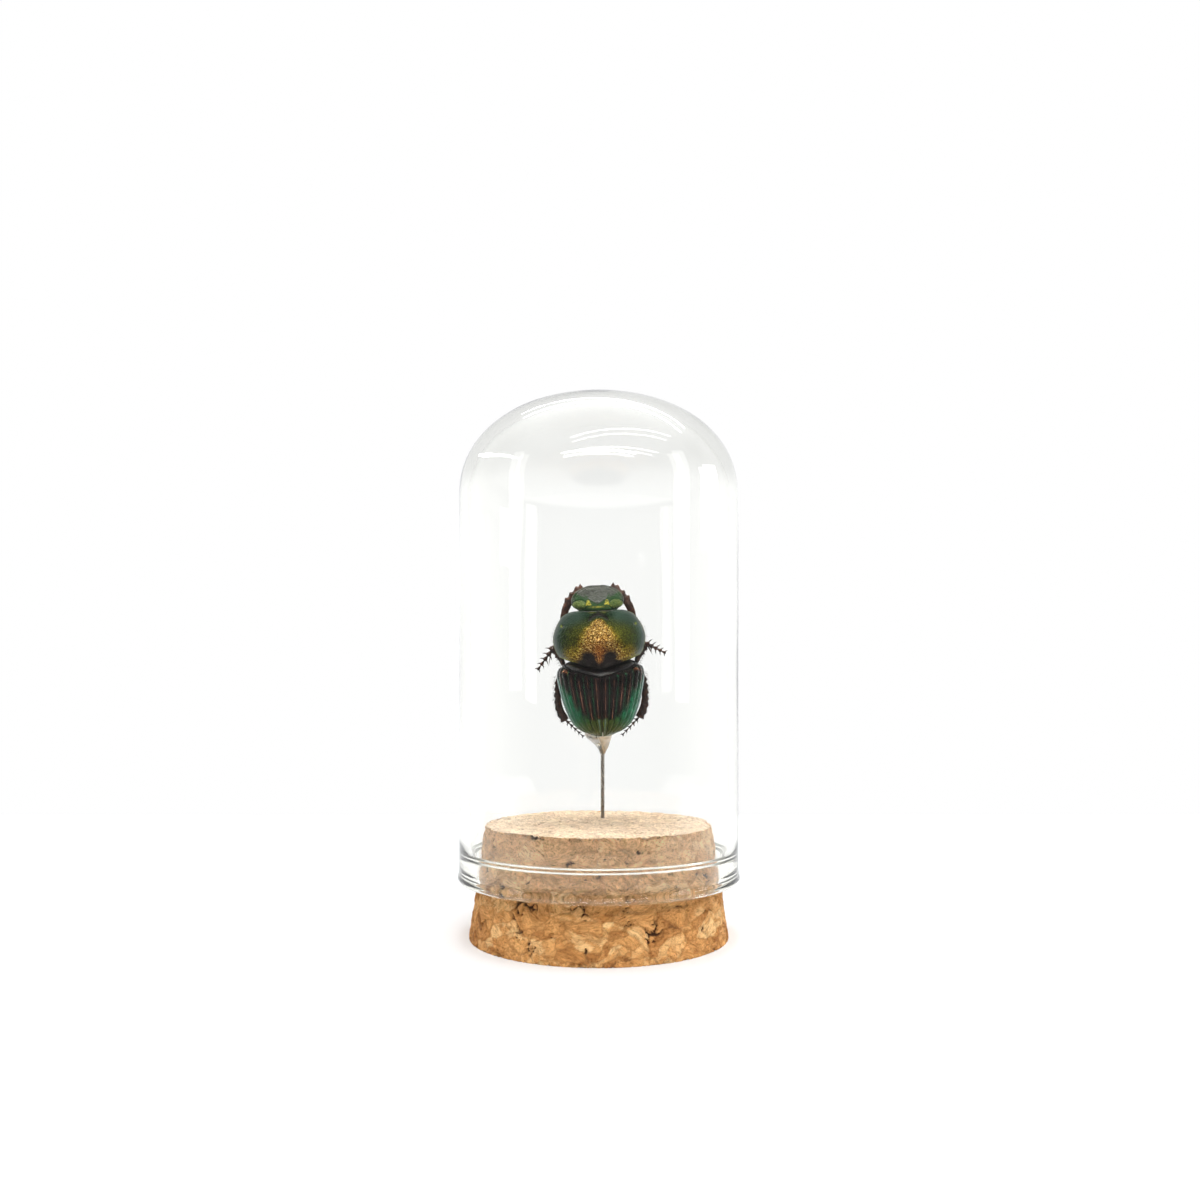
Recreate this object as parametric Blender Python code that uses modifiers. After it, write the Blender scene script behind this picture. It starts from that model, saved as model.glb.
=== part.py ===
"""Insect in a glass dome: a rainbow scarab on a pin in a tapered cork stopper, under a glass dome.

Metres, +Z up. The origin is the centre of the cork's base and the beetle's back faces -Y.
The beetle is modelled in a frame of its own: its tail is the origin, +Z runs to its head and -Y is
its back. The empty beetle_frame places that frame in the dome.
"""

import math

import bmesh
import bpy
from mathutils import Matrix, Vector

MM = 0.001

# Glass dome
DOME_RADIUS = 15.0 * MM
DOME_WALL = 1.1 * MM
DOME_TOP = 57.8 * MM
CROWN_START = 47.0 * MM
CROWN_POWER = 2.2
LIP_HEIGHT = 6.0 * MM
BAND_TOP = 8.7 * MM
BAND_INNER_RADIUS = 13.25 * MM
SHOULDER_TOP = 9.5 * MM
DOME_STEPS = 48
CROWN_ARCS = 7

# Cork stopper
CORK_BASE_RADIUS = 14.1 * MM
CORK_TOP_RADIUS = 12.24 * MM
CORK_HEIGHT = 12.15 * MM
CORK_EDGE = 0.25 * MM

# Pin
PIN_RADIUS = 0.225 * MM
PIN_X = 0.45 * MM
PIN_Y = 4.6 * MM
PIN_POINT = 6.2 * MM
PIN_POINT_LENGTH = 1.6 * MM
PIN_TOP = 27.4 * MM
PIN_CLEARANCE = 0.05 * MM

# Beetle
BEETLE_PLACE = Vector((0.45, 0.2, 21.4)) * MM
BEETLE_LEAN = math.radians(-2.3)
ELYTRON_EDGE_Y = 0.5
ELYTRON_THICKNESS = 0.26 * MM
SUTURE_HALF_GAP = 0.035
GLUE_CLEARANCE = 0.07
SECTION_POWER = 0.86

# Sections across the body, in millimetres of the beetle's frame:
# (z on the midline, half width of the back, half width of the belly, height to the back,
#  depth to the belly, forward sweep of the sides, y of the widest line)
HEAD_SECTIONS = [
    (12.98, 1.75, 1.75, 1.15, 0.90, 0.0, -0.65),
    (13.45, 2.35, 2.35, 1.30, 1.05, 0.0, -0.68),
    (13.90, 2.76, 2.76, 1.30, 1.00, 0.0, -0.60),
    (14.35, 2.92, 2.92, 1.15, 0.90, 0.0, -0.40),
    (15.10, 2.60, 2.60, 0.90, 0.75, 0.0, -0.10),
    (15.70, 1.95, 1.95, 0.60, 0.55, 0.0, 0.10),
    (16.10, 1.15, 1.15, 0.35, 0.35, 0.0, 0.25),
    (16.24, 0.55, 0.55, 0.20, 0.20, 0.0, 0.30),
]
PROTHORAX_SECTIONS = [
    (7.62, 4.30, 4.30, 3.75, 2.80, 1.10, 0.0),
    (8.35, 4.72, 4.72, 4.12, 3.10, 0.95, 0.0),
    (9.20, 4.92, 4.92, 4.30, 3.25, 0.82, 0.0),
    (10.10, 4.95, 4.95, 4.30, 3.25, 0.70, 0.0),
    (11.10, 4.62, 4.62, 3.98, 3.05, 0.60, 0.0),
    (12.00, 4.02, 4.02, 3.35, 2.70, 0.55, 0.0),
    (12.85, 3.25, 3.25, 2.35, 2.10, 0.55, 0.0),
]
PROTHORAX_DISHES = (0.25, 0.80)
TRUNK_SECTIONS = [
    (0.42, 0.75, 0.95, 0.55, 0.95, 0.0, 0.58),
    (0.95, 1.70, 2.35, 1.25, 1.80, 0.0, 0.58),
    (1.80, 2.60, 3.25, 2.25, 2.45, 0.0, 0.58),
    (3.20, 3.35, 3.80, 3.25, 2.90, 0.0, 0.58),
    (5.00, 3.85, 4.32, 3.75, 3.22, 0.0, 0.58),
    (6.10, 4.00, 4.52, 3.85, 3.22, 0.1, 0.58),
    (6.90, 3.40, 4.10, 3.45, 3.00, 0.5, 0.58),
    (7.30, 2.90, 3.45, 3.05, 2.60, 0.8, 0.58),
]
# (z, half width, height to the back)
ELYTRON_SECTIONS = [
    (0.02, 0.55, 0.55),
    (0.30, 1.30, 1.05),
    (0.83, 2.40, 1.80),
    (1.70, 3.30, 2.70),
    (3.20, 3.92, 3.50),
    (5.00, 4.42, 3.92),
    (6.40, 4.68, 4.02),
    (7.05, 4.52, 3.90),
    (7.40, 4.05, 3.72),
    (7.50, 3.55, 3.62),
]
# Sections of the glue: (z, x, y, half width, half depth), in millimetres of the dome's frame
GLUE_SECTIONS = [
    (19.25, 0.45, 4.60, 0.42, 0.42),
    (19.90, 0.42, 4.25, 0.64, 0.90),
    (20.60, 0.25, 3.55, 1.05, 1.75),
    (21.15, 0.00, 2.75, 1.50, 2.60),
    (21.80, 0.00, 2.80, 1.62, 2.65),
    (23.00, 0.20, 3.70, 1.30, 1.75),
    (25.00, 0.35, 4.20, 0.95, 1.20),
    (26.80, 0.42, 4.45, 0.70, 0.90),
    (27.90, 0.45, 4.55, 0.42, 0.52),
]

# Legs, right side, in millimetres of the beetle's frame
FORE_FEMUR = ((1.75, 3.95, 10.7), (4.25, 1.75, 12.80))
MID_FEMUR = ((2.0, 4.05, 6.6), (4.02, 2.95, 7.78))
HIND_FEMUR = ((2.1, 4.15, 4.8), (4.62, 2.60, 6.68))
FEMUR_HALF_WIDTHS = (0.56, 0.36)
FORE_TIBIA_LINE = [(4.15, 12.95), (3.98, 13.9), (3.62, 14.8), (3.05, 15.55), (2.35, 16.1), (1.60, 16.4)]
FORE_TIBIA_Y = 1.35
MID_TIBIA_LINE = [(4.05, 7.90), (4.30, 8.7), (4.65, 9.5), (4.95, 10.2)]
MID_TIBIA_Y = 2.65
HIND_TIBIA_LINE = [(4.62, 6.80), (4.78, 5.6), (4.80, 4.3), (4.62, 3.0), (4.05, 1.85)]
HIND_TIBIA_Y = 1.95
TARSUS_OFFSET = -0.34
TIBIA_THICKNESS = 0.34 * MM
TARSUS_THICKNESS = 0.22 * MM
TARSUS_SEGMENTS = 5
MID_TARSUS_TIPS = {"left": (6.95, 7.55), "right": (7.30, 8.85)}
MID_SPUR_TIPS = {"left": (5.75, 7.9), "right": (5.85, 8.7)}
MID_TARSUS_START = (4.98, 10.08)
HIND_TARSUS_START = (4.10, 1.95)
HIND_TARSUS_TIP = (2.20, 0.02)
# (radius, height) of a femur of half width and half length 1, knee upwards
FEMUR_PROFILE = [
    (0, 1),
    (0.42, 0.97),
    (0.62, 0.8),
    (0.92, 0.3),
    (1, -0.15),
    (0.85, -0.6),
    (0.5, -0.94),
    (0, -1),
]
# Antenna, right side: (x, y, z, radius) in millimetres of the beetle's frame
ANTENNA = [
    (1.35, 0.62, 14.0, 0.11),
    (1.60, 0.85, 14.4, 0.12),
    (1.85, 1.00, 14.8, 0.13),
    (1.92, 1.15, 15.0, 0.26),
    (1.95, 1.25, 15.3, 0.36),
    (1.92, 1.25, 15.6, 0.26),
    (1.88, 1.22, 15.72, 0.10),
]
SIDES = {"left": -1, "right": 1}

collection = None
cutters = None


def clear_scene():
    for obj in list(bpy.data.objects):
        bpy.data.objects.remove(obj)


def new_collection(name):
    made = bpy.data.collections.new(name)
    bpy.context.scene.collection.children.link(made)
    return made


def material(name, colour, roughness, metallic=0.0, transmission=0.0, ior=1.5):
    found = bpy.data.materials.get(name)
    if found:
        return found
    made = bpy.data.materials.new(name)
    made.use_nodes = True
    shader = made.node_tree.nodes["Principled BSDF"]
    shader.inputs["Base Color"].default_value = (*colour, 1.0)
    shader.inputs["Roughness"].default_value = roughness
    shader.inputs["Metallic"].default_value = metallic
    shader.inputs["Transmission Weight"].default_value = transmission
    shader.inputs["IOR"].default_value = ior
    return made


def glass():
    return material("clear_glass", (0.97, 0.99, 0.97), 0.02, transmission=1.0)


def cork():
    return material("agglomerated_cork", (0.60, 0.38, 0.19), 0.85)


def steel():
    return material("pin_steel", (0.33, 0.28, 0.24), 0.35, metallic=1.0)


def glue():
    return material("dried_glue", (0.85, 0.78, 0.66), 0.3, transmission=0.6, ior=1.48)


def black_cuticle():
    return material("black_cuticle", (0.02, 0.018, 0.016), 0.35)


def green_cuticle():
    return material("green_cuticle", (0.05, 0.16, 0.07), 0.3, metallic=0.7)


def gold_cuticle():
    return material("gold_green_cuticle", (0.16, 0.18, 0.05), 0.32, metallic=0.7)


def add_object(name, data, finish, parent=None):
    obj = bpy.data.objects.new(name, data)
    data.materials.append(finish)
    collection.objects.link(obj)
    if parent:
        obj.parent = parent
    return obj


def make_cutter(obj):
    for home in list(obj.users_collection):
        home.objects.unlink(obj)
    cutters.objects.link(obj)
    obj.hide_render = True
    obj.display_type = "WIRE"
    return obj


def cut(obj, cutter):
    boolean = obj.modifiers.new("cut_" + cutter.name, "BOOLEAN")
    boolean.operation = "DIFFERENCE"
    boolean.object = cutter


def mesh_of(name, build):
    """A new mesh that build(bm) fills, with smooth sides."""
    bm = bmesh.new()
    build(bm)
    bmesh.ops.recalc_face_normals(bm, faces=bm.faces)
    mesh = bpy.data.meshes.new(name)
    bm.to_mesh(mesh)
    bm.free()
    mesh.shade_smooth()
    return mesh


def turned(name, profile, steps, finish, place=(0, 0, 0)):
    """A solid turned about Z. The profile is (radius, height) points down its outer side."""
    mesh = bpy.data.meshes.new(name)
    points = [(radius, 0, height) for radius, height in profile]
    edges = [(i, i + 1) for i in range(len(points) - 1)]
    mesh.from_pydata(points, edges, [])
    obj = add_object(name, mesh, finish)
    obj.location = place
    screw = obj.modifiers.new("turn", "SCREW")
    screw.steps = steps
    screw.render_steps = steps
    screw.use_merge_vertices = True
    screw.merge_threshold = 0.000002
    return obj


def arc(centre, radii, start, end, count):
    """Points on an ellipse's arc, with start and end in degrees."""
    return [
        (
            centre[0] + radii[0] * math.cos(math.radians(start + (end - start) * i / count)),
            centre[1] + radii[1] * math.sin(math.radians(start + (end - start) * i / count)),
        )
        for i in range(count + 1)
    ]


def along(points, count):
    """count points on a smooth Catmull-Rom curve through points, which are tuples of one length."""
    places = []
    spans = len(points) - 1
    for i in range(count):
        t = i * spans / (count - 1)
        k = min(int(t), spans - 1)
        t -= k
        before, a, b, after = (Vector(points[max(0, min(spans, k + j))]) for j in (-1, 0, 1, 2))
        slope_a = (b - before) / 2
        slope_b = (after - a) / 2
        places.append(
            (2 * t**3 - 3 * t**2 + 1) * a
            + (t**3 - 2 * t**2 + t) * slope_a
            + (3 * t**2 - 2 * t**3) * b
            + (t**3 - t**2) * slope_b
        )
    return places


def power(value, exponent):
    return math.copysign(abs(value) ** exponent, value)


def bridge_rings(bm, rings, dishes=(0.0, 0.0)):
    """Closes a stack of rings of points into one body. A dish is how far an end's centre goes in."""
    rows = [[bm.verts.new(point) for point in ring] for ring in rings]
    count = len(rows[0])
    for low, high in zip(rows, rows[1:]):
        for i in range(count):
            j = (i + 1) % count
            bm.faces.new((low[i], low[j], high[j], high[i]))
    for row, dish in ((rows[0], dishes[0]), (rows[-1], -dishes[1])):
        middle = sum((v.co for v in row), Vector()) / count
        centre = bm.verts.new(middle + Vector((0, 0, dish * MM)))
        for i in range(count):
            bm.faces.new((row[i], row[(i + 1) % count], centre))


def body_mesh(name, sections, rings, sides, grow=0.0, dishes=(0.0, 0.0)):
    """A loft through body sections, whose back and belly halves meet at a ledge."""

    def half_ring(half_width, depth, section, start):
        z, sweep, y = section[0], section[5], section[6]
        points = []
        for i in range(sides // 2 + 1):
            angle = start + math.pi * i / (sides // 2)
            across = power(round(math.cos(angle), 9), SECTION_POWER)
            deep = power(round(math.sin(angle), 9), SECTION_POWER)
            point = ((half_width + grow) * across, y + (depth + grow) * deep, z + sweep * across**2)
            points.append(Vector(point) * MM)
        return points

    def section_ring(section):
        back, belly = section[1], section[2]
        lower = half_ring(belly, section[4], section, 0)
        upper = half_ring(back, section[3], section, math.pi)
        if back == belly:
            upper = upper[1:-1]
        return lower + upper

    stations = along(sections, rings)
    stations[0][0] -= grow
    stations[-1][0] += grow
    return mesh_of(name, lambda bm: bridge_rings(bm, [section_ring(s) for s in stations], dishes))


def crown_arc(radius, top):
    """Points of the dome's crown from its wall up to its middle, a little squarer than an ellipse."""
    points = []
    for radial, upward in arc((0, 0), (1, 1), 0, 90, CROWN_ARCS):
        height = CROWN_START + (top - CROWN_START) * power(upward, 2 / CROWN_POWER)
        points.append((radius * power(radial, 2 / CROWN_POWER), height))
    return points


def glass_dome():
    outer = DOME_RADIUS
    inner = DOME_RADIUS - DOME_WALL
    band = BAND_INNER_RADIUS
    lip_round = 0.55 * MM
    crown = crown_arc(outer, DOME_TOP)[::-1]
    outer_lip = arc((outer - lip_round, LIP_HEIGHT + lip_round), (lip_round, lip_round), 0, -90, 2)
    inner_lip = arc((band + lip_round, LIP_HEIGHT + lip_round), (lip_round, lip_round), -90, -180, 2)
    shoulder = [
        (band, BAND_TOP),
        (band + 0.3 * (inner - band), BAND_TOP + 0.4 * (SHOULDER_TOP - BAND_TOP)),
        (band + 0.8 * (inner - band), BAND_TOP + 0.7 * (SHOULDER_TOP - BAND_TOP)),
        (inner, SHOULDER_TOP),
    ]
    inner_crown = crown_arc(inner, DOME_TOP - DOME_WALL)
    profile = crown + outer_lip + inner_lip + shoulder + inner_crown
    turned("glass_dome", profile, DOME_STEPS, glass())


def cork_stopper():
    slope = (CORK_BASE_RADIUS - CORK_TOP_RADIUS) / CORK_HEIGHT
    profile = [
        (0, CORK_HEIGHT),
        (CORK_TOP_RADIUS - CORK_EDGE, CORK_HEIGHT),
        (CORK_TOP_RADIUS + slope * CORK_EDGE, CORK_HEIGHT - CORK_EDGE),
        (CORK_BASE_RADIUS - slope * CORK_EDGE, CORK_EDGE),
        (CORK_BASE_RADIUS - CORK_EDGE, 0),
        (0, 0),
    ]
    stopper = turned("cork_stopper", profile, DOME_STEPS, cork())
    hole = pin_shape("pin_hole", PIN_RADIUS + PIN_CLEARANCE, PIN_POINT - PIN_CLEARANCE, CORK_HEIGHT + MM)
    cut(stopper, make_cutter(hole))


def pin_shape(name, radius, low, high):
    profile = [
        (0, high),
        (radius * 0.7, high - 0.06 * MM),
        (radius, high - 0.2 * MM),
        (radius, low + PIN_POINT_LENGTH),
        (0, low),
    ]
    return turned(name, profile, 12, steel(), (PIN_X, PIN_Y, 0))


def insect_pin():
    pin_shape("insect_pin", PIN_RADIUS, PIN_POINT, PIN_TOP)


def glue_drop(beetle):
    """The drop round the pin and up the belly, cut clear of the pin, the trunk and the wing cases."""

    def section_ring(section):
        z, x, y, half_width, half_depth = section
        return [
            Vector((x + half_width * math.cos(angle), y + half_depth * math.sin(angle), z)) * MM
            for angle in (2 * math.pi * i / 20 for i in range(20))
        ]

    rings = [section_ring(s) for s in along(GLUE_SECTIONS, 15)]
    drop = add_object("glue_drop", mesh_of("glue_drop", lambda bm: bridge_rings(bm, rings)), glue())
    bore = pin_shape("glue_bore", PIN_RADIUS + PIN_CLEARANCE, 15 * MM, PIN_TOP + PIN_CLEARANCE)
    cut(drop, make_cutter(bore))
    trunk = body_mesh("trunk_clearance", TRUNK_SECTIONS, 12, 20, GLUE_CLEARANCE)
    cut(drop, make_cutter(add_object("trunk_clearance", trunk, black_cuticle(), beetle)))
    tail = body_mesh("tail_clearance", tail_sections(), 8, 20, GLUE_CLEARANCE)
    cut(drop, make_cutter(add_object("tail_clearance", tail, black_cuticle(), beetle)))


def tail_sections():
    """Both wing cases near the tail as one closed form."""
    edge = ELYTRON_EDGE_Y
    return [(z, half, half, back + edge, 0.3, 0.0, edge) for z, half, back in ELYTRON_SECTIONS[:6]]


def elytron(side, beetle):
    """One wing case: an open curved sheet given its thickness inwards."""
    name = "elytron_" + side
    across, lengthwise = 9, 15

    def build(bm):
        rows = []
        for z, half_width, back in along(ELYTRON_SECTIONS, lengthwise):
            row = []
            for i in range(across + 1):
                angle = math.pi / 2 * i / across
                x = SUTURE_HALF_GAP + (half_width - SUTURE_HALF_GAP) * math.sin(angle) ** SECTION_POWER
                drop = math.cos(angle) ** SECTION_POWER if i < across else 0.0
                y = ELYTRON_EDGE_Y - (ELYTRON_EDGE_Y + back) * drop
                row.append(bm.verts.new(Vector((SIDES[side] * x, y, z)) * MM))
            rows.append(row)
        for low, high in zip(rows, rows[1:]):
            for i in range(across):
                bm.faces.new((low[i], low[i + 1], high[i + 1], high[i]))

    mesh = mesh_of(name, build)
    outward = sum((p.normal.y * p.area for p in mesh.polygons)) < 0
    if not outward:
        mesh.flip_normals()
    obj = add_object(name, mesh, green_cuticle(), beetle)
    shell = obj.modifiers.new("thickness", "SOLIDIFY")
    shell.thickness = ELYTRON_THICKNESS
    shell.offset = -1.0


def flat_piece(name, outline, depth, thickness, beetle, finish):
    """A flat plate in the beetle's XZ plane. The outline is (x, z) points in millimetres."""
    curve = bpy.data.curves.new(name, "CURVE")
    curve.dimensions = "2D"
    curve.fill_mode = "BOTH"
    curve.extrude = thickness / 2
    spline = curve.splines.new("POLY")
    spline.points.add(len(outline) - 1)
    for point, (x, z) in zip(spline.points, outline):
        point.co = (x * MM, z * MM, 0, 1)
    spline.use_cyclic_u = True
    obj = add_object(name, curve, finish, beetle)
    obj.location = (0, depth * MM, 0)
    obj.rotation_euler = (math.radians(90), 0, 0)
    return obj


def toothed_outline(line, half_widths, teeth, tooth, side):
    """A bar along line whose outer edge has teeth. Half widths run from the first point to the last."""
    steps = 3 * teeth
    places = along(line, steps + 1)
    outer, inner = [], []
    for i, place in enumerate(places):
        near = places[min(i + 1, steps)] - places[max(i - 1, 0)]
        out = Vector((near.y, -near.x)).normalized()
        half = half_widths[0] + (half_widths[1] - half_widths[0]) * i / steps
        bump = tooth if i % 3 == 2 else 0.0
        outer.append(place + out * (half + bump))
        inner.append(place - out * half)
    return [(side * p.x, p.y) for p in outer + inner[::-1]]


def saw_outline(start, end, segments, half_width, side):
    """A row of triangular segments from start to end, each widest at its far end."""
    start, end = Vector(start), Vector(end)
    way = (end - start).normalized()
    out = Vector((way.y, -way.x))
    step = (end - start).length / segments
    left, right = [start + out * half_width * 0.4], [start - out * half_width * 0.4]
    for i in range(segments):
        shrink = 1.0 - 0.1 * i
        wide = start + way * step * (i + 0.8)
        waist = start + way * step * (i + 1)
        left += [wide + out * half_width * shrink, waist + out * half_width * 0.35]
        right += [wide - out * half_width * shrink, waist - out * half_width * 0.35]
    return [(side * p.x, p.y) for p in left + right[::-1]]


def femur(name, ends, side, beetle):
    """A flattened club between two joints, turned and then squeezed."""
    near, far = (Vector((side * x, y, z)) * MM for x, y, z in ends)
    wide, thin = (value * MM for value in FEMUR_HALF_WIDTHS)
    half_length = (far - near).length / 2

    around = [(math.cos(math.pi * i / 5), math.sin(math.pi * i / 5)) for i in range(10)]

    def build(bm):
        rings = [
            [
                Vector((thin * radius * c, wide * radius * s, half_length * height))
                for c, s in around
            ]
            for radius, height in FEMUR_PROFILE[1:-1]
        ]
        bridge_rings(bm, rings)

    obj = add_object(name, mesh_of(name, build), black_cuticle(), beetle)
    turn = (far - near).to_track_quat("Z", "Y")
    obj.matrix_local = Matrix.Translation((near + far) / 2) @ turn.to_matrix().to_4x4()


def legs(side, beetle):
    sign = SIDES[side]
    black = black_cuticle()
    femur("fore_femur_" + side, FORE_FEMUR, sign, beetle)
    femur("mid_femur_" + side, MID_FEMUR, sign, beetle)
    femur("hind_femur_" + side, HIND_FEMUR, sign, beetle)
    fore = toothed_outline(FORE_TIBIA_LINE, (0.26, 0.34), 4, 0.32, sign)
    flat_piece("fore_tibia_" + side, fore, FORE_TIBIA_Y, TIBIA_THICKNESS, beetle, black)
    mid = toothed_outline(MID_TIBIA_LINE, (0.22, 0.50), 3, 0.14, sign)
    spur = MID_SPUR_TIPS[side]
    end = len(mid) // 2 - 1
    mid[end:end] = [(sign * 5.52, 9.75), (sign * spur[0], spur[1]), (sign * 5.88, 10.0)]
    flat_piece("mid_tibia_" + side, mid, MID_TIBIA_Y, TIBIA_THICKNESS, beetle, black)
    hind = toothed_outline(HIND_TIBIA_LINE, (-0.24, -0.46), 4, -0.14, sign)
    flat_piece("hind_tibia_" + side, hind, HIND_TIBIA_Y, TIBIA_THICKNESS, beetle, black)
    mid_tarsus = saw_outline(MID_TARSUS_START, MID_TARSUS_TIPS[side], TARSUS_SEGMENTS, 0.34, sign)
    depth = MID_TIBIA_Y + TARSUS_OFFSET
    flat_piece("mid_tarsus_" + side, mid_tarsus, depth, TARSUS_THICKNESS, beetle, black)
    hind_tarsus = saw_outline(HIND_TARSUS_START, HIND_TARSUS_TIP, TARSUS_SEGMENTS, 0.27, sign)
    depth = HIND_TIBIA_Y + TARSUS_OFFSET
    flat_piece("hind_tarsus_" + side, hind_tarsus, depth, TARSUS_THICKNESS, beetle, black)


def antenna(side, beetle):
    """A thin stalk with a round club at its end, folded under the head."""
    name = "antenna_" + side
    curve = bpy.data.curves.new(name, "CURVE")
    curve.dimensions = "3D"
    curve.bevel_depth = MM
    curve.bevel_resolution = 1
    curve.use_fill_caps = True
    spline = curve.splines.new("POLY")
    spline.points.add(len(ANTENNA) - 1)
    for point, (x, y, z, radius) in zip(spline.points, ANTENNA):
        point.co = (SIDES[side] * x * MM, y * MM, z * MM, 1)
        point.radius = radius
    add_object(name, curve, black_cuticle(), beetle)


def beetle_frame():
    frame = bpy.data.objects.new("beetle_frame", None)
    collection.objects.link(frame)
    frame.location = BEETLE_PLACE
    frame.rotation_euler = (0, BEETLE_LEAN, 0)
    frame.empty_display_size = 2 * MM
    return frame


def build():
    global collection, cutters
    clear_scene()
    collection = new_collection("insect_in_glass_dome")
    cutters = new_collection("cutters")
    glass_dome()
    cork_stopper()
    insect_pin()
    beetle = beetle_frame()
    glue_drop(beetle)
    add_object("head", body_mesh("head", HEAD_SECTIONS, 9, 16), green_cuticle(), beetle)
    shield = body_mesh("prothorax", PROTHORAX_SECTIONS, 11, 24, dishes=PROTHORAX_DISHES)
    add_object("prothorax", shield, gold_cuticle(), beetle)
    trunk = body_mesh("thorax_abdomen", TRUNK_SECTIONS, 12, 20)
    add_object("thorax_abdomen", trunk, black_cuticle(), beetle)
    for side in SIDES:
        elytron(side, beetle)
        antenna(side, beetle)
        legs(side, beetle)


build()
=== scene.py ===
"""Looks of the insect in a glass dome: blown glass, agglomerated cork, steel pin, glue and a scarab.

Meshes are worked out in millimetres. The beetle has a frame of its own, as in the CAD: its tail is
the origin, +Z runs to its head and -Y is its back.
"""

import itertools
import math

import bpy
import numpy as np
from mathutils import Matrix, Vector

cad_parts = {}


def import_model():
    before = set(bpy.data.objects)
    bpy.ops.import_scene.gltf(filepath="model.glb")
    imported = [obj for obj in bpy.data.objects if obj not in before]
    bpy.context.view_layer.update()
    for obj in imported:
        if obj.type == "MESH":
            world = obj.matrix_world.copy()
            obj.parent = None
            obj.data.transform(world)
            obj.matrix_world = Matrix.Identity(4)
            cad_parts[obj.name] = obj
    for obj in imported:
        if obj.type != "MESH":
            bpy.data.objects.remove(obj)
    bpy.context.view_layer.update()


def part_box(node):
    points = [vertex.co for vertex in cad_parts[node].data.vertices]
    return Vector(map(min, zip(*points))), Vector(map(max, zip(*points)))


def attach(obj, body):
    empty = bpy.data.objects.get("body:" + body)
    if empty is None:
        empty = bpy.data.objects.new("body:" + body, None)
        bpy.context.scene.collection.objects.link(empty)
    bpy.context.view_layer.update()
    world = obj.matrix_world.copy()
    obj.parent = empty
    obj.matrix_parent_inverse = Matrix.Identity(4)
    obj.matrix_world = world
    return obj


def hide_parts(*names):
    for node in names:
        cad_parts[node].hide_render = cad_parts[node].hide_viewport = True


MM = 0.001

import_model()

# Sizes read from the frame, in millimetres
DOME_LOW, DOME_HIGH = (np.array(corner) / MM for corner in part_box("glass_dome"))
CORK_LOW, CORK_HIGH = (np.array(corner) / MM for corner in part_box("cork_stopper"))
PIN_LOW, PIN_HIGH = (np.array(corner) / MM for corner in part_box("insect_pin"))
DOME_RADIUS = DOME_HIGH[0]
CORK_HEIGHT = CORK_HIGH[2]
CORK_BASE_RADIUS = CORK_HIGH[0]
PIN_AXIS = (PIN_LOW + PIN_HIGH) / 2

# Sizes that the CAD is made to, in millimetres
CORK_TOP_RADIUS = 12.24
DOME_WALL = 1.1
CROWN_START = 47.0
CROWN_POWER = 2.2
BAND_TOP = 8.7
BAND_INNER_RADIUS = 13.25
SHOULDER_TOP = 9.5
BEETLE_PLACE = (0.45, 0.2, 21.4)
BEETLE_LEAN = math.radians(-2.3)
ELYTRON_EDGE_Y = 0.5
SECTION_POWER = 0.86
SIDES = {"left": -1, "right": 1}

DOME_FRAME = Matrix.Diagonal((MM, MM, MM, 1.0))
BEETLE_FRAME = DOME_FRAME @ Matrix.Translation(BEETLE_PLACE) @ Matrix.Rotation(BEETLE_LEAN, 4, "Y")


# ---------------------------------------------------------------- numbers over many points


def scramble(cells, seed):
    """A repeatable random number from 0 to 1 for each triple of whole numbers."""
    i, j, k = (cells[..., n].astype(np.int64) for n in range(3))
    h = (i * 73856093) ^ (j * 19349663) ^ (k * 83492791) ^ (seed * 2654435761)
    h = ((h ^ (h >> 13)) * 1274126177) & 0xFFFFFFFF
    h = ((h ^ (h >> 15)) * 2246822519) & 0xFFFFFFFF
    return ((h ^ (h >> 16)) & 0xFFFFFF) / float(0x1000000)


def noise(points, scale, seed=0, octaves=1):
    """Smooth noise from -1 to 1 at each point, with scale bumps to the millimetre."""
    total, weight, amount = 0.0, 0.0, 1.0
    for octave in range(octaves):
        at = points * scale * 2**octave
        low = np.floor(at)
        part = at - low
        part = part * part * (3 - 2 * part)
        value = 0.0
        for corner in itertools.product((0, 1), repeat=3):
            share = 1.0
            for n in range(3):
                share = share * (part[..., n] if corner[n] else 1 - part[..., n])
            value = value + share * scramble(low + np.array(corner), seed + octave)
        total = total + amount * (2 * value - 1)
        weight += amount
        amount /= 2
    return total / weight


def cells(points, spacing, seed=0):
    """The random cell each point is in: distances to the nearest two centres, and the cell's numbers."""
    at = points / spacing
    home = np.floor(at)
    first = np.full(at.shape[:-1], 9.0)
    second = first.copy()
    owner = np.zeros_like(at)
    for offset in itertools.product((-1, 0, 1), repeat=3):
        cell = home + np.array(offset)
        centre = cell + np.stack([scramble(cell, seed + n) for n in (11, 12, 13)], -1)
        distance = np.linalg.norm(at - centre, axis=-1)
        nearer = distance < first
        second = np.where(nearer, first, np.minimum(second, distance))
        first = np.where(nearer, distance, first)
        owner = np.where(nearer[..., None], cell, owner)
    return first * spacing, second * spacing, owner


def step(low, high, value):
    """0 below low, 1 above high and a smooth rise between."""
    t = np.clip((value - low) / (high - low), 0, 1)
    return t * t * (3 - 2 * t)


def hill(value, width):
    """1 at 0, falling smoothly away over width on each side."""
    return np.exp(-((value / width) ** 2))


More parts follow.
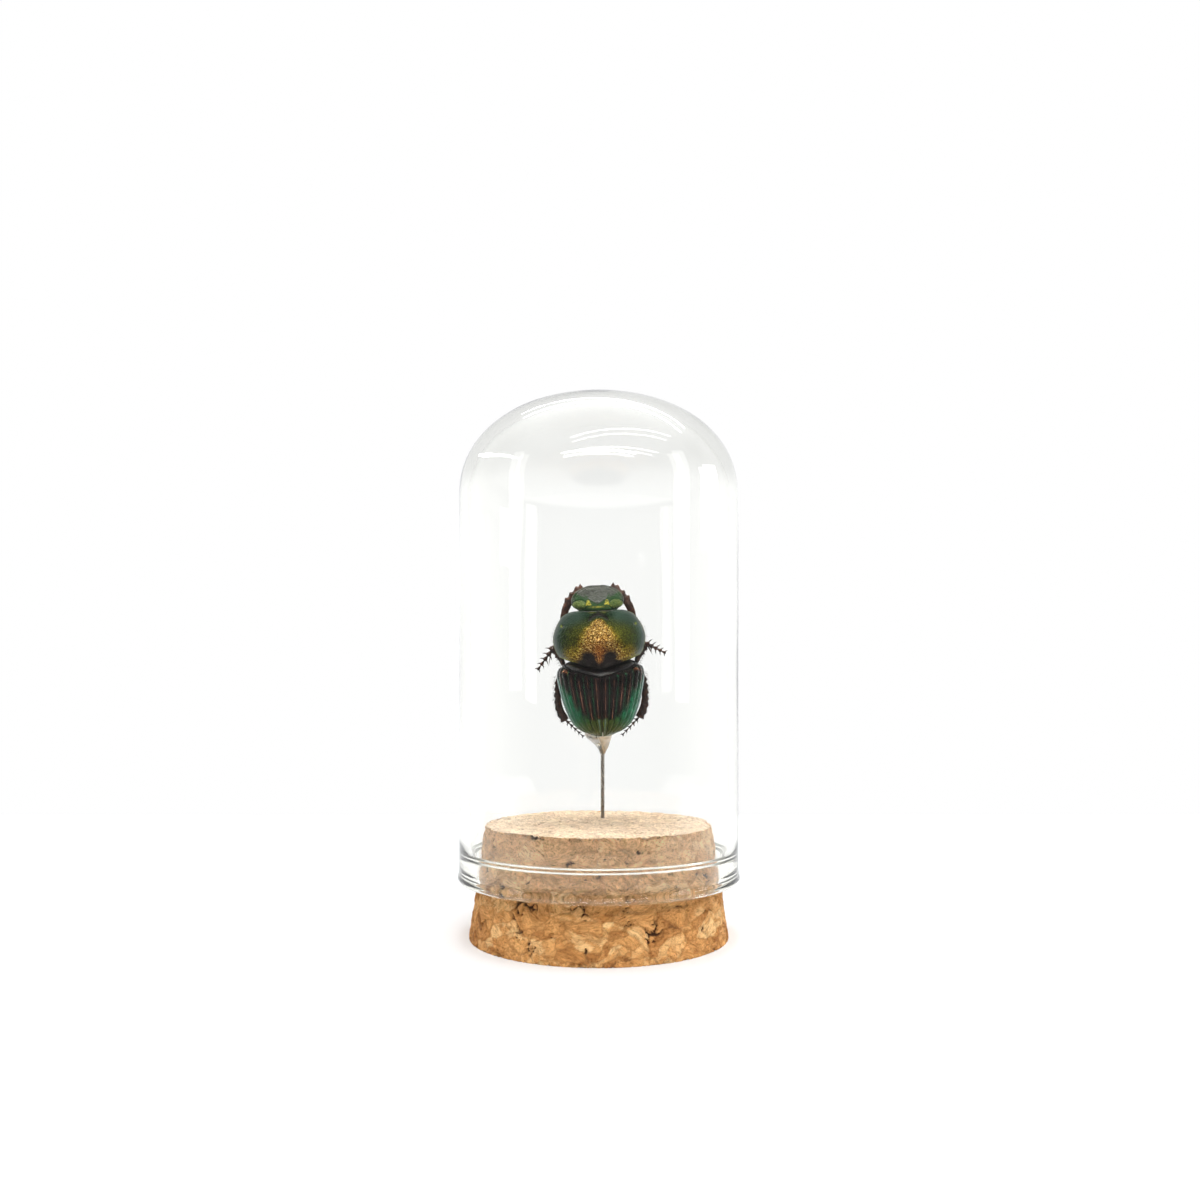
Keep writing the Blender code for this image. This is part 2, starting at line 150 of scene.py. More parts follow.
def smooth_path(points, count):
    """count points on a smooth curve through points, as rows."""
    points = np.asarray(points, float)
    spans = len(points) - 1
    t = np.linspace(0, spans, count)
    k = np.minimum(t.astype(int), spans - 1)
    t = (t - k)[:, None]
    before, a = points[np.maximum(k - 1, 0)], points[k]
    b, after = points[k + 1], points[np.minimum(k + 2, spans)]
    slope_a, slope_b = (b - before) / 2, (after - a) / 2
    return (
        (2 * t**3 - 3 * t**2 + 1) * a
        + (t**3 - 2 * t**2 + t) * slope_a
        + (3 * t**2 - 2 * t**3) * b
        + (t**3 - t**2) * slope_b
    )


def power(value, exponent):
    return np.sign(value) * np.abs(value) ** exponent


def grid_normals(grid, wrap):
    """Unit normals of a grid of points. With wrap, the columns close on themselves."""
    down = np.gradient(grid, axis=0)
    if wrap:
        along = (np.roll(grid, -1, axis=1) - np.roll(grid, 1, axis=1)) / 2
    else:
        along = np.gradient(grid, axis=1)
    normal = np.cross(along, down)
    return normal / np.maximum(np.linalg.norm(normal, axis=-1, keepdims=True), 1e-9)


def outward_normals(grid, wrap, column=0):
    """The grid's normals, turned so that the one half way down the column given points to +X."""
    normal = grid_normals(grid, wrap)
    return -normal if normal[len(grid) // 2, column, 0] < 0 else normal


def section_angles(belly_count, back_count):
    """Angles once round a body section, with their own spacing on the belly and on the back."""
    belly = np.linspace(0, math.pi, belly_count, endpoint=False)
    return np.concatenate([belly, np.linspace(math.pi, 2 * math.pi, back_count, endpoint=False)])


def grid_faces(rows, columns, wrap):
    """Quads between the rows and columns of a grid of points."""
    wide = columns if wrap else columns - 1
    i, j = np.meshgrid(np.arange(rows - 1), np.arange(wide), indexing="ij")
    right = (j + 1) % columns
    above, below = i * columns, (i + 1) * columns
    quads = np.stack([above + j, above + right, below + right, below + j], -1)
    return quads.reshape(-1, 4).tolist()


# ---------------------------------------------------------------- pieces


def piece(name, points, faces, finish, replaced, place=DOME_FRAME, fields=None):
    """A mesh that rides on the body. The fields are numbers or vectors kept at each point."""
    mesh = bpy.data.meshes.new(name)
    mesh.from_pydata(np.asarray(points).reshape(-1, 3).tolist(), [], faces)
    for field, values in (fields or {}).items():
        values = np.asarray(values, np.float32)
        vector = values.ndim > 1 and values.shape[-1] == 3
        layer = mesh.attributes.new(field, "FLOAT_VECTOR" if vector else "FLOAT", "POINT")
        layer.data.foreach_set("vector" if vector else "value", values.reshape(-1))
    mesh.validate()
    mesh.update()
    mesh.shade_smooth()
    mesh.materials.append(finish)
    obj = bpy.data.objects.new(name, mesh)
    bpy.context.scene.collection.objects.link(obj)
    obj.matrix_world = place
    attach(obj, "root")
    if replaced:
        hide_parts(*replaced)
    return obj


def closed_loft(grid, dishes=(0.0, 0.0), rings=4):
    """Closes a grid of rings at both ends, each end sunk by its dish. Gives points, faces and rows."""
    count = grid.shape[1]
    rows = [grid]
    sources = [np.arange(len(grid))]
    for end, dish, first in ((grid[0], dishes[0], True), (grid[-1], -dishes[1], False)):
        middle = end.mean(axis=0)
        inner = []
        for n in range(1, rings + 1):
            share = 1 - n / (rings + 0.2)
            ring = middle + (end - middle) * share
            ring[:, 2] += dish * (1 - share**2)
            inner.append(ring)
        inner = np.array(inner)
        source = np.full(rings, 0 if first else len(grid) - 1)
        if first:
            rows.insert(0, inner[::-1])
            sources.insert(0, source)
        else:
            rows.append(inner)
            sources.append(source)
    whole = np.concatenate(rows)
    faces = grid_faces(len(whole), count, True)
    low, high = len(whole) * count, len(whole) * count + 1
    last = (len(whole) - 1) * count
    faces += [[low, (j + 1) % count, j] for j in range(count)]
    faces += [[high, last + j, last + (j + 1) % count] for j in range(count)]
    points = np.concatenate([whole.reshape(-1, 3), whole[0].mean(0)[None], whole[-1].mean(0)[None]])
    return points, faces, np.concatenate(sources)


def spread(fields, source_rows):
    """Fields of the grid carried to the points of its closed loft."""
    return {
        name: np.concatenate([values[source_rows].reshape(-1), [values[0].mean(), values[-1].mean()]])
        for name, values in fields.items()
    }


def body_loft(sections, rows, angles):
    """A grid of points through body sections. Angle 0 is the right side and -90 degrees the back."""
    z, back_width, belly_width, back, belly, sweep, y = smooth_path(sections, rows).T[:, :, None]
    across, deep = power(np.cos(angles), SECTION_POWER), power(np.sin(angles), SECTION_POWER)
    width = np.where(deep < 0, back_width, belly_width)
    depth = np.where(deep < 0, back, belly)
    ones = np.ones_like(across)
    return np.stack([width * across, y * ones + depth * deep, z * ones + sweep * across**2], -1)


def bar(line, outer, inner, thick, around=14):
    """A limb along a line of 3-D points, with its half widths on each edge and half thickness."""
    line = np.asarray(line, float)
    rows = len(line)
    way = np.gradient(line, axis=0)
    way /= np.linalg.norm(way, axis=1, keepdims=True)
    flat = np.cross(np.array([0.0, -1.0, 0.0]), way)
    flat /= np.linalg.norm(flat, axis=1, keepdims=True)
    up = np.cross(way, flat)
    angles = np.linspace(0, 2 * math.pi, around, endpoint=False)
    c, s = np.cos(angles)[None, :, None], np.sin(angles)[None, :, None]
    outer, inner, thick = (np.broadcast_to(v, (rows,))[:, None, None] for v in (outer, inner, thick))
    width = np.where(c > 0, outer, inner)
    return line[:, None, :] + flat[:, None, :] * c * width + up[:, None, :] * s * thick


def join(parts):
    """Several (points, faces) made one."""
    points, faces, start = [], [], 0
    for some, polygons in parts:
        points.append(np.asarray(some).reshape(-1, 3))
        faces += [[v + start for v in polygon] for polygon in polygons]
        start += len(points[-1])
    return np.concatenate(points), faces


def closed_bar(*arguments, **options):
    points, faces, _ = closed_loft(bar(*arguments, **options), rings=1)
    return points, faces


def hairs(roots, ways, lengths, radius, bend, seed):
    """Tapered bristles, each a curved three-sided needle."""
    random = np.random.default_rng(seed)
    parts = []
    for root, way, length in zip(roots, ways, lengths):
        way = way / np.linalg.norm(way)
        side = np.cross(way, random.normal(size=3))
        side /= np.linalg.norm(side)
        third = np.cross(way, side)
        rings = []
        for t in (0.0, 0.4, 0.75, 1.0):
            centre = root + way * length * t + side * bend * length * t * t
            thick = radius * (1.0 - 0.9 * t)
            for angle in (0.0, 2.094, 4.189):
                rings.append(centre + thick * (math.cos(angle) * side + math.sin(angle) * third))
        faces = grid_faces(4, 3, True) + [[0, 2, 1], [9, 10, 11]]
        parts.append((np.array(rings), faces))
    return join(parts)


# ---------------------------------------------------------------- shader nodes


def connect(tree, socket, value):
    if isinstance(value, bpy.types.NodeSocket):
        tree.links.new(value, socket)
    elif isinstance(value, (tuple, list)) and len(value) == 3 and socket.type == "RGBA":
        socket.default_value = (*value, 1.0)
    else:
        socket.default_value = value


def node(tree, kind, settings=None, **inputs):
    made = tree.nodes.new("ShaderNode" + kind)
    for key, value in (settings or {}).items():
        setattr(made, key, value)
    for key, value in inputs.items():
        connect(tree, made.inputs[key.replace("_", " ")], value)
    return made


def new_material(name):
    made = bpy.data.materials.new(name)
    made.use_nodes = True
    made.node_tree.nodes.clear()
    return made, made.node_tree


def finish_material(tree, shader, volume=None):
    output = node(tree, "OutputMaterial")
    tree.links.new(shader.outputs[0], output.inputs["Surface"])
    if volume:
        tree.links.new(volume.outputs[0], output.inputs["Volume"])


def mix(tree, factor, a, b, blend="MIX"):
    made = node(tree, "Mix", {"data_type": "RGBA", "blend_type": blend})
    connect(tree, made.inputs["Factor"], factor)
    connect(tree, made.inputs[6], a)
    connect(tree, made.inputs[7], b)
    return made.outputs[2]


def math_node(tree, operation, a, b=0.0):
    made = node(tree, "Math", {"operation": operation})
    connect(tree, made.inputs[0], a)
    connect(tree, made.inputs[1], b)
    return made.outputs[0]


def ramp(tree, factor, stops):
    made = node(tree, "ValToRGB")
    connect(tree, made.inputs[0], factor)
    elements = made.color_ramp.elements
    while len(elements) < len(stops):
        elements.new(0.5)
    for element, (place, colour) in zip(elements, stops):
        element.position = place
        element.color = (*colour, 1.0)
    return made.outputs[0]


def rise(tree, value, low, high, to_low=0.0, to_high=1.0):
    made = node(tree, "MapRange", {"interpolation_type": "SMOOTHSTEP"}, Value=value)
    made.inputs["From Min"].default_value = low
    made.inputs["From Max"].default_value = high
    made.inputs["To Min"].default_value = to_low
    made.inputs["To Max"].default_value = to_high
    return made.outputs["Result"]


def field(tree, name, vector=False):
    return node(tree, "Attribute", {"attribute_name": name}).outputs["Vector" if vector else "Fac"]


def object_place(tree):
    return node(tree, "TexCoord").outputs["Object"]


def noise_node(tree, vector, scale, detail=3.0, roughness=0.5, distortion=0.0):
    made = node(tree, "TexNoise", Vector=vector, Scale=scale, Detail=detail, Roughness=roughness)
    made.inputs["Distortion"].default_value = distortion
    return made.outputs["Fac"]


def bump(tree, height, distance, strength):
    return node(tree, "Bump", Height=height, Distance=distance, Strength=strength).outputs["Normal"]


# ---------------------------------------------------------------- studio


CAMERA_PLACE = (0, -108.42 * MM, 25.38 * MM)


def camera():
    data = bpy.data.cameras.new("camera")
    data.lens = 30
    data.sensor_width = 36
    data.shift_x = 0.001
    data.shift_y = 0.083
    data.clip_start = 0.001
    data.clip_end = 10
    obj = bpy.data.objects.new("camera", data)
    obj.location = CAMERA_PLACE
    obj.rotation_euler = (math.radians(90), 0, 0)
    bpy.context.scene.collection.objects.link(obj)
    bpy.context.scene.camera = obj


def world():
    """A white sweep behind the object, a dim ceiling, and a dark room with a bright table in front.

    The camera itself sees plain white past the object. What glass and gloss show is the shaped light.
    """
    made = bpy.data.worlds.new("studio")
    bpy.context.scene.world = made
    made.use_nodes = True
    tree = made.node_tree
    tree.nodes.clear()
    way = node(tree, "TexCoord").outputs["Generated"]
    parts = node(tree, "SeparateXYZ", Vector=way)
    side = rise(tree, parts.outputs["Y"], -0.55, 0.02, 0.13, 0.58)
    sweep = math_node(tree, "ADD", side, rise(tree, parts.outputs["Y"], 0.02, 0.50, 0.0, 0.52))
    sweep = math_node(tree, "MULTIPLY", sweep, rise(tree, parts.outputs["Z"], 0.15, 0.36, 1.0, 0.78))
    upward = node(tree, "VectorMath", {"operation": "DOT_PRODUCT"})
    connect(tree, upward.inputs[0], way)
    connect(tree, upward.inputs[1], (0.0, -0.25, 0.968))
    ceiling = rise(tree, upward.outputs["Value"], 0.48, 0.88, 0.0, 0.7)
    table = rise(tree, parts.outputs["Z"], -0.24, -0.10, 1.5, 0.0)
    table = math_node(tree, "MULTIPLY", table, rise(tree, parts.outputs["Y"], -0.3, 0.1, 1.0, 0.0))
    light = math_node(tree, "ADD", math_node(tree, "ADD", sweep, ceiling), table)
    shaped = node(tree, "Background", Color=(0.985, 0.995, 1.015), Strength=light)
    plain = node(tree, "Background", Color=(1.0, 1.0, 1.0), Strength=1.0)
    path = node(tree, "LightPath")
    both = node(tree, "MixShader")
    tree.links.new(path.outputs["Is Camera Ray"], both.inputs[0])
    tree.links.new(shaped.outputs[0], both.inputs[1])
    tree.links.new(plain.outputs[0], both.inputs[2])
    output = node(tree, "OutputWorld")
    tree.links.new(both.outputs[0], output.inputs["Surface"])


def softbox(name, place, aim, width, height, radiance):
    """A rectangular lamp at place, turned to aim. Sizes are in millimetres."""
    data = bpy.data.lights.new(name, "AREA")
    data.shape = "RECTANGLE"
    data.size = width * MM
    data.size_y = height * MM
    data.energy = radiance * math.pi * width * height * MM * MM
    obj = bpy.data.objects.new(name, data)
    obj.location = [v * MM for v in place]
    way = np.array(aim, float) - np.array(place, float)
    obj.rotation_euler = Vector(way).to_track_quat("-Z", "Y").to_euler()
    bpy.context.scene.collection.objects.link(obj)
    return obj


# Name, place, aim, width, height and radiance of each lamp outside the dome
LAMPS = [
    ("left_window", (-280, -107, 120), (0, 0, 30), 50, 190, 2.0),
    ("right_window", (280, -107, 120), (0, 0, 30), 60, 200, 2.6),
    ("front_softbox", (0, -240, 190), (0, 0, 20), 280, 14, 26.0),
    ("right_lamp", (240, 40, 108), (0, 0, 45), 70, 60, 8.0),
    ("left_tube", (-212, 35, 165), (0, 0, 45), 200, 8, 12.0),
    ("front_tube", (50, -205, 190), (0, 0, 45), 300, 9, 12.0),
    ("middle_tube", (50, -110, 250), (0, 0, 45), 300, 9, 12.0),
    ("back_tube", (30, 110, 262), (0, 0, 45), 300, 9, 12.0),
]


def lamps():
    for lamp in LAMPS:
        softbox(*lamp)
    for side, sign in SIDES.items():
        # Light for the cork's top, which the glass keeps most of the lamps from. It shows nowhere itself.
        glow = softbox("dome_glow_" + side, (8.5 * sign, 0, 46), (7.0 * sign, 0, 0), 8, 18, 23.0)
        glow.visible_camera = False
        glow.visible_transmission = False
        glow.visible_glossy = False


def floor_patch():
    """A white floor that ends just behind the object, where the white world goes on."""
    bpy.ops.mesh.primitive_plane_add(size=0.4, location=(0, 0.025, 0))
    floor = bpy.context.object
    floor.scale = (1.0, 0.43, 1.0)
    floor.name = "studio_floor"
    made, tree = new_material("floor_white")
    shader = node(tree, "BsdfPrincipled", Base_Color=(0.90, 0.90, 0.90), Roughness=0.9)
    shader.inputs["Specular IOR Level"].default_value = 0.1
    finish_material(tree, shader)
    floor.data.materials.append(made)


def studio():
    camera()
    world()
    lamps()
    floor_patch()
    bpy.context.scene.view_settings.view_transform = "Standard"


# ---------------------------------------------------------------- glass dome


def glass_material():
    made, tree = new_material("clear_glass")
    shader = node(tree, "BsdfPrincipled", Base_Color=(1.0, 1.0, 1.0), Roughness=0.0, IOR=1.47)
    shader.inputs["Transmission Weight"].default_value = 1.0
    absorb = node(tree, "VolumeAbsorption", Color=(0.92, 0.91, 0.72), Density=90.0)
    finish_material(tree, shader, absorb)
    return made


def arc(centre, radii, start, end, count):
    angles = np.radians(np.linspace(start, end, count))
    return np.stack([centre[0] + radii[0] * np.cos(angles), centre[1] + radii[1] * np.sin(angles)], -1)


def crown_arc(radius, top, count):
    """Points of the dome's crown from its wall up to its middle, a little squarer than an ellipse."""
    points = arc((0, 0), (1, 1), 0, 89.8, count) ** (2 / CROWN_POWER)
    return points * (radius, top - CROWN_START) + (0, CROWN_START)


def glass_dome():
    """The dome's wall turned about its axis, with the slight waves of blown glass."""
    around, lip = 256, 0.55
    top, low = DOME_HIGH[2], DOME_LOW[2]
    outer, inner, band = DOME_RADIUS, DOME_RADIUS - DOME_WALL, BAND_INNER_RADIUS
    rise_of_shoulder = np.linspace(0, 1, 26)
    steps = 0.5 * step(0.0, 0.42, rise_of_shoulder) + 0.5 * step(0.56, 1.0, rise_of_shoulder)
    shoulder_height = BAND_TOP + (SHOULDER_TOP - BAND_TOP) * rise_of_shoulder
    shoulder = np.stack([band + (inner - band) * steps, shoulder_height], -1)
    outside = np.concatenate([
        crown_arc(outer, top, 52)[::-1],
        np.stack([np.full(34, outer), np.linspace(CROWN_START, low + 2, 36)[1:-1]], -1),
        np.stack([np.full(12, outer), np.linspace(low + 2, low + lip, 13)[:-1]], -1),
        arc((outer - lip, low + lip), (lip, lip), 0, -90, 10),
    ])
    outside[:, 0] += 0.16 * hill(outside[:, 1] - low - 0.55, 0.50) * step(14.0, 14.6, outside[:, 0])
    inside = np.concatenate([
        arc((band + lip, low + lip), (lip, lip), -90, -180, 8),
        np.stack([np.full(6, band), np.linspace(low + lip, BAND_TOP, 8)[1:-1]], -1),
        shoulder,
        np.stack([np.full(28, inner), np.linspace(SHOULDER_TOP, CROWN_START, 30)[1:-1]], -1),
        crown_arc(inner, top - DOME_WALL, 52),
    ])
    profile = np.concatenate([outside, inside])
    angles = np.linspace(0, 2 * math.pi, around, endpoint=False)
    radius, height = profile[:, 0][:, None], profile[:, 1][:, None]
    grid = np.stack([radius * np.cos(angles), radius * np.sin(angles), height + 0 * angles], -1)
    wave = 0.035 * noise(grid, 0.11, 5) + 0.02 * noise(grid * (1, 1, 0.35), 0.3, 6)
    within = (np.arange(len(profile)) >= len(outside) + 14)[:, None]
    towards = np.minimum(radius / 3.0, 1.0)
    grid[..., 0] += within * towards * wave * np.cos(angles)
    grid[..., 1] += within * towards * wave * np.sin(angles)
    grid[..., 2] += within * (1 - np.minimum(radius / 13.0, 1.0)) * wave
    faces = grid_faces(len(grid), around, True)
    last = (len(grid) - 1) * around
    faces += [[(j + 1) % around, j, len(grid) * around] for j in range(around)]
    faces += [[last + j, last + (j + 1) % around, len(grid) * around + 1] for j in range(around)]
    ends = np.array([[0, 0, top], [0, 0, grid[-1, :, 2].mean()]])
    points = np.concatenate([grid.reshape(-1, 3), ends])
    faces = [face[::-1] for face in faces]
    piece("glass_dome_blown", points, faces, glass_material(), ["glass_dome"])


# ---------------------------------------------------------------- cork


def cork_material():
    made, tree = new_material("agglomerated_cork")
    granule = field(tree, "granule")
    crack = field(tree, "crack")
    depth = field(tree, "pit")
    grain = field(tree, "grain", vector=True)
    place = object_place(tree)
    base = ramp(tree, granule, [
        (0.00, (0.17, 0.080, 0.030)),
        (0.10, (0.44, 0.195, 0.058)),
        (0.35, (0.63, 0.310, 0.104)),
        (0.62, (0.72, 0.380, 0.140)),
        (0.86, (0.90, 0.58, 0.270)),
        (1.00, (0.58, 0.34, 0.155)),
    ])
    fibre = noise_node(tree, grain, 1.0, 5.0, 0.62, 0.9)
    # Painted light: up the cork's side under the glass the colour is made brighter and paler, standing in
    # for light that the glass keeps from it.
    sheltered = mix(tree, field(tree, "sheltered"), (1.0, 1.0, 1.0), (1.45, 1.66, 2.20))
    base = mix(tree, 1.0, base, sheltered, "MULTIPLY")
    painted_paler = math_node(tree, "MULTIPLY", field(tree, "sheltered"), 0.50)
    base = mix(tree, painted_paler, base, (1.0, 0.69, 0.43))
    base = mix(tree, field(tree, "sanded"), base, (1.0, 0.84, 0.67))
    streaks = ramp(tree, fibre, [
        (0.28, (0.34, 0.25, 0.18)),
        (0.40, (0.78, 0.71, 0.62)),
        (0.52, (1.05, 1.03, 0.99)),
        (0.70, (1.30, 1.30, 1.26)),
    ])
    colour = mix(tree, 1.0, base, streaks, "MULTIPLY")
    mottle = noise_node(tree, place, 0.9, 4.0, 0.6)
    cloud = ramp(tree, mottle, [(0.3, (0.82, 0.80, 0.78)), (0.7, (1.10, 1.10, 1.10))])
    colour = mix(tree, 1.0, colour, cloud, "MULTIPLY")
    lines = node(tree, "TexVoronoi", {"feature": "DISTANCE_TO_EDGE"}, Vector=grain, Scale=1.3)
    scratch = rise(tree, lines.outputs["Distance"], 0.0, 0.05, 0.22, 0.0)
    colour = mix(tree, scratch, colour, (0.16, 0.075, 0.035))
    colour = mix(tree, rise(tree, crack, 0.60, 1.0, 0.0, 0.14), colour, (0.26, 0.105, 0.035))
    colour = mix(tree, rise(tree, depth, 0.20, 0.8, 0.0, 0.92), colour, (0.045, 0.020, 0.010))
    speck = noise_node(tree, place, 7.0, 3.0, 0.7)
    colour = mix(tree, rise(tree, speck, 0.62, 0.70, 0.0, 0.70), colour, (0.15, 0.062, 0.025))
    pores = noise_node(tree, place, 16.0, 4.0, 0.65)
    fibres = math_node(tree, "MULTIPLY", fibre, 1.1)
    height = math_node(tree, "ADD", fibres, math_node(tree, "MULTIPLY", pores, 0.5))
    relief = bump(tree, height, 0.00016, 0.8)
    shader = node(tree, "BsdfPrincipled", Base_Color=colour, Roughness=0.86, Normal=relief)
    shader.inputs["Specular IOR Level"].default_value = 0.22
    shader.inputs["Subsurface Weight"].default_value = 0.06
    shader.inputs["Subsurface Scale"].default_value = 0.0004
    finish_material(tree, shader)
    return made


def cork_stopper():
    """The tapered plug with real granules: flakes stand at their own heights and dark pits open between."""
    around, slope = 600, (CORK_BASE_RADIUS - CORK_TOP_RADIUS) / CORK_HEIGHT
    side_rows, top_rows, base_rows = 84, 46, 26
    edge = 0.12
    top_radii = np.linspace(0.05, 1, top_rows) ** 0.8 * (CORK_TOP_RADIUS - edge)
    top = np.stack([top_radii, np.full(top_rows, CORK_HEIGHT)], -1)
    heights = np.linspace(CORK_HEIGHT - edge, edge, side_rows)
    side = np.stack([CORK_TOP_RADIUS + slope * (CORK_HEIGHT - heights), heights], -1)
    base_radii = np.linspace(CORK_BASE_RADIUS - edge, 0.4, base_rows)
    base = np.stack([base_radii, np.zeros(base_rows)], -1)
    profile = np.concatenate([top, side, base])
    angles = np.linspace(0, 2 * math.pi, around, endpoint=False)
    radius, height = profile[:, 0][:, None], profile[:, 1][:, None] + 0 * angles
    grid = np.stack([radius * np.cos(angles), radius * np.sin(angles), height], -1)
    warp = np.stack([noise(grid, 0.55, seed, 2) for seed in (21, 22, 23)], -1)
    bent = (grid + 0.95 * warp) * np.array([1.0, 1.0, 1.7])
    first, second, owner = cells(bent, 2.7, 31)
    small_first, small_second, small_owner = cells(bent + 0.2 * warp, 1.25, 47)
    big = scramble(owner, 61)
    small = scramble(small_owner, 62)
    granule = 0.62 * big + 0.38 * small
    gap = np.minimum((second - first) / 0.26, (small_second - small_first) / 0.13)
    crack = 1 - np.clip(gap, 0, 1)
    opening = noise(grid, 0.75, 71, 2)
    pit = crack * step(0.26, 0.50, opening) + 0.8 * step(0.66, 0.78, noise(grid, 1.6, 73, 2))
    on_side = step(0, 1, np.arange(len(profile)) - top_rows + 1)[:, None] * np.ones(around)
    on_base = (np.arange(len(profile)) >= top_rows + side_rows)[:, None] * np.ones(around)
    rough = 0.13 * big + 0.07 * small + 0.05 * noise(grid, 2.6, 75, 2)
    rough = rough + 0.10 * crack**2 + 0.34 * np.clip(pit, 0, 1)
    near_rim = hill(height - CORK_HEIGHT, 0.5) + hill(height, 0.5)
    chips = near_rim * 0.42 * step(0.05, 0.6, noise(grid, 0.9, 77, 2))
    inward = on_side * (1 - on_base) * (rough + chips)
    scale = 1 - inward / np.maximum(radius, 1.0)
    grid[..., 0] *= scale
    grid[..., 1] *= scale
    grid[..., 2] -= (1 - on_side) * (0.45 * rough * step(0.0, 2.0, radius) + 0.10 * crack)
    worn = 0.22 * step(-0.1, 0.6, noise(grid, 1.1, 79))
    grid[..., 2] -= hill(radius - CORK_TOP_RADIUS, 0.5) * (1 - on_side) * worn
    grid[..., 2] += on_base * 0.10 * np.clip(pit + 0.6 * crack, 0, 1)
    hole = np.hypot(grid[..., 0] - PIN_AXIS[0], grid[..., 1] - PIN_AXIS[1])
    grid[..., 2] -= (1 - on_side) * 0.28 * hill(hole, 0.42)
    turn = 2 * math.pi * scramble(owner, 91)
    lean = 1.2 * (scramble(owner, 92) - 0.5)
    c, s = np.cos(turn), np.sin(turn)
    x, y, z = (grid[..., n] + 0.3 * warp[..., n] for n in range(3))
    first_axis = c * x + s * y
    cross = -s * x + c * y
    grain = np.stack([0.7 * (first_axis + lean * z), 2.6 * cross, 3.4 * (z - lean * first_axis)], -1)
    grain += 40 * scramble(owner, 93)[..., None]
    faces = grid_faces(len(grid), around, True)
    last = (len(grid) - 1) * around
    faces += [[(j + 1) % around, j, len(grid) * around] for j in range(around)]
    faces += [[last + j, last + (j + 1) % around, len(grid) * around + 1] for j in range(around)]
    ends = np.stack([grid[0].mean(0), grid[-1].mean(0)])
    points = np.concatenate([grid.reshape(-1, 3), ends])

    def ended(values):
        return np.concatenate([values.reshape(-1, *values.shape[2:]), values[0, :1], values[-1, :1]])

    sanded = 0.85 * (1 - on_side)
    # Painted light under the glass: how much of the brightening each point of the side gets, rising in two
    # steps towards the top.
    sheltered = on_side * (0.5 * step(5.2, 6.6, height) + 0.5 * step(8.6, 9.6, height))
    pit = np.clip(pit, 0, 1) * (0.45 + 0.55 * on_side)
    fields = {"granule": granule, "crack": crack, "pit": pit, "grain": grain}
    fields.update(sheltered=sheltered, sanded=sanded)
    fields = {key: ended(values) for key, values in fields.items()}
    faces = [face[::-1] for face in faces]
    finish = cork_material()
    replaced = ["cork_stopper"]
    piece("cork_stopper_granulated", points, faces, finish, replaced, fields=fields)


# ---------------------------------------------------------------- pin and glue


def steel_material():
    made, tree = new_material("pin_steel")
    stain = noise_node(tree, object_place(tree), 2.2, 4.0, 0.6)
    colour = ramp(tree, stain, [(0.35, (0.30, 0.27, 0.23)), (0.7, (0.55, 0.51, 0.46))])
    rough = rise(tree, stain, 0.3, 0.8, 0.34, 0.2)
    shader = node(tree, "BsdfPrincipled", Base_Color=colour, Metallic=1.0, Roughness=rough)
    finish_material(tree, shader)
    return made


def insect_pin():
    radius = (PIN_HIGH[0] - PIN_LOW[0]) / 2
    low, high = PIN_LOW[2], PIN_HIGH[2]
    profile = [(0.03, low), (radius * 0.55, low + 0.8), (radius, low + 1.7), (radius, 15.0), (radius, 19.0),
               (radius, high - 0.25), (radius * 0.8, high - 0.06), (radius * 0.4, high)]
    angles = np.linspace(0, 2 * math.pi, 28, endpoint=False)
    rings = smooth_path(profile, 60)
    rings[:, 0] = np.minimum(rings[:, 0], radius)
    r, z = rings[:, 0][:, None], rings[:, 1][:, None] + 0 * angles
    grid = np.stack([PIN_AXIS[0] + r * np.cos(angles), PIN_AXIS[1] + r * np.sin(angles), z], -1)
    points, faces, _ = closed_loft(grid, rings=1)
    piece("insect_pin_steel", points, faces, steel_material(), ["insect_pin"])


# Height, middle x and y, half width and half depth of the drop
GLUE_SECTIONS = [
    (19.25, 0.45, 4.60, 0.30, 0.30),
    (19.60, 0.45, 4.50, 0.42, 0.50),
    (20.00, 0.42, 4.25, 0.62, 0.95),
    (20.60, 0.25, 3.55, 1.00, 1.75),
    (21.15, 0.05, 2.75, 1.42, 2.55),
    (21.60, 0.00, 2.70, 1.58, 2.60),
    (22.20, 0.02, 2.95, 1.50, 2.30),
    (23.00, 0.20, 3.70, 1.25, 1.60),
    (25.00, 0.35, 4.25, 0.90, 1.00),
    (26.80, 0.42, 4.50, 0.66, 0.72),
    (27.80, 0.45, 4.58, 0.36, 0.40),
]


def glue_material():
    made, tree = new_material("dried_glue")
    beige = field(tree, "beige")
    cloud = noise_node(tree, object_place(tree), 0.9, 3.0, 0.6)
    beige = math_node(tree, "MULTIPLY", beige, rise(tree, cloud, 0.2, 0.6, 0.7, 1.0))
    colour = mix(tree, beige, (0.97, 0.95, 0.90), (0.74, 0.62, 0.45))
    rough = rise(tree, beige, 0.0, 1.0, 0.04, 0.25)
    shader = node(tree, "BsdfPrincipled", Base_Color=colour, Roughness=rough, IOR=1.36)
    connect(tree, shader.inputs["Transmission Weight"], rise(tree, beige, 0.0, 1.0, 1.0, 0.35))
    finish_material(tree, shader)
    return made


def glue_drop():
    angles = np.linspace(0, 2 * math.pi, 64, endpoint=False)
    z, x, y, wide, deep = smooth_path(GLUE_SECTIONS, 90).T[:, :, None]
    grid = np.stack([x + wide * np.cos(angles), y + deep * np.sin(angles), z + 0 * angles], -1)
    lumps = 0.07 * noise(grid, 0.8, 101, 2)[..., None]
    grid += grid_normals(grid, True) * lumps * step(19.3, 20.2, z)[..., None]
    side = (grid[..., 0] - x) / wide
    beige = step(-0.35, 0.25, side + 0.5 * (z > 22.0)) * np.ones_like(grid[..., 0])
    points, faces, source = closed_loft(grid, rings=2)
    fields = spread({"beige": beige}, source)
    piece("glue_drop_dried", points, faces, glue_material(), ["glue_drop"], fields=fields)


# ---------------------------------------------------------------- beetle


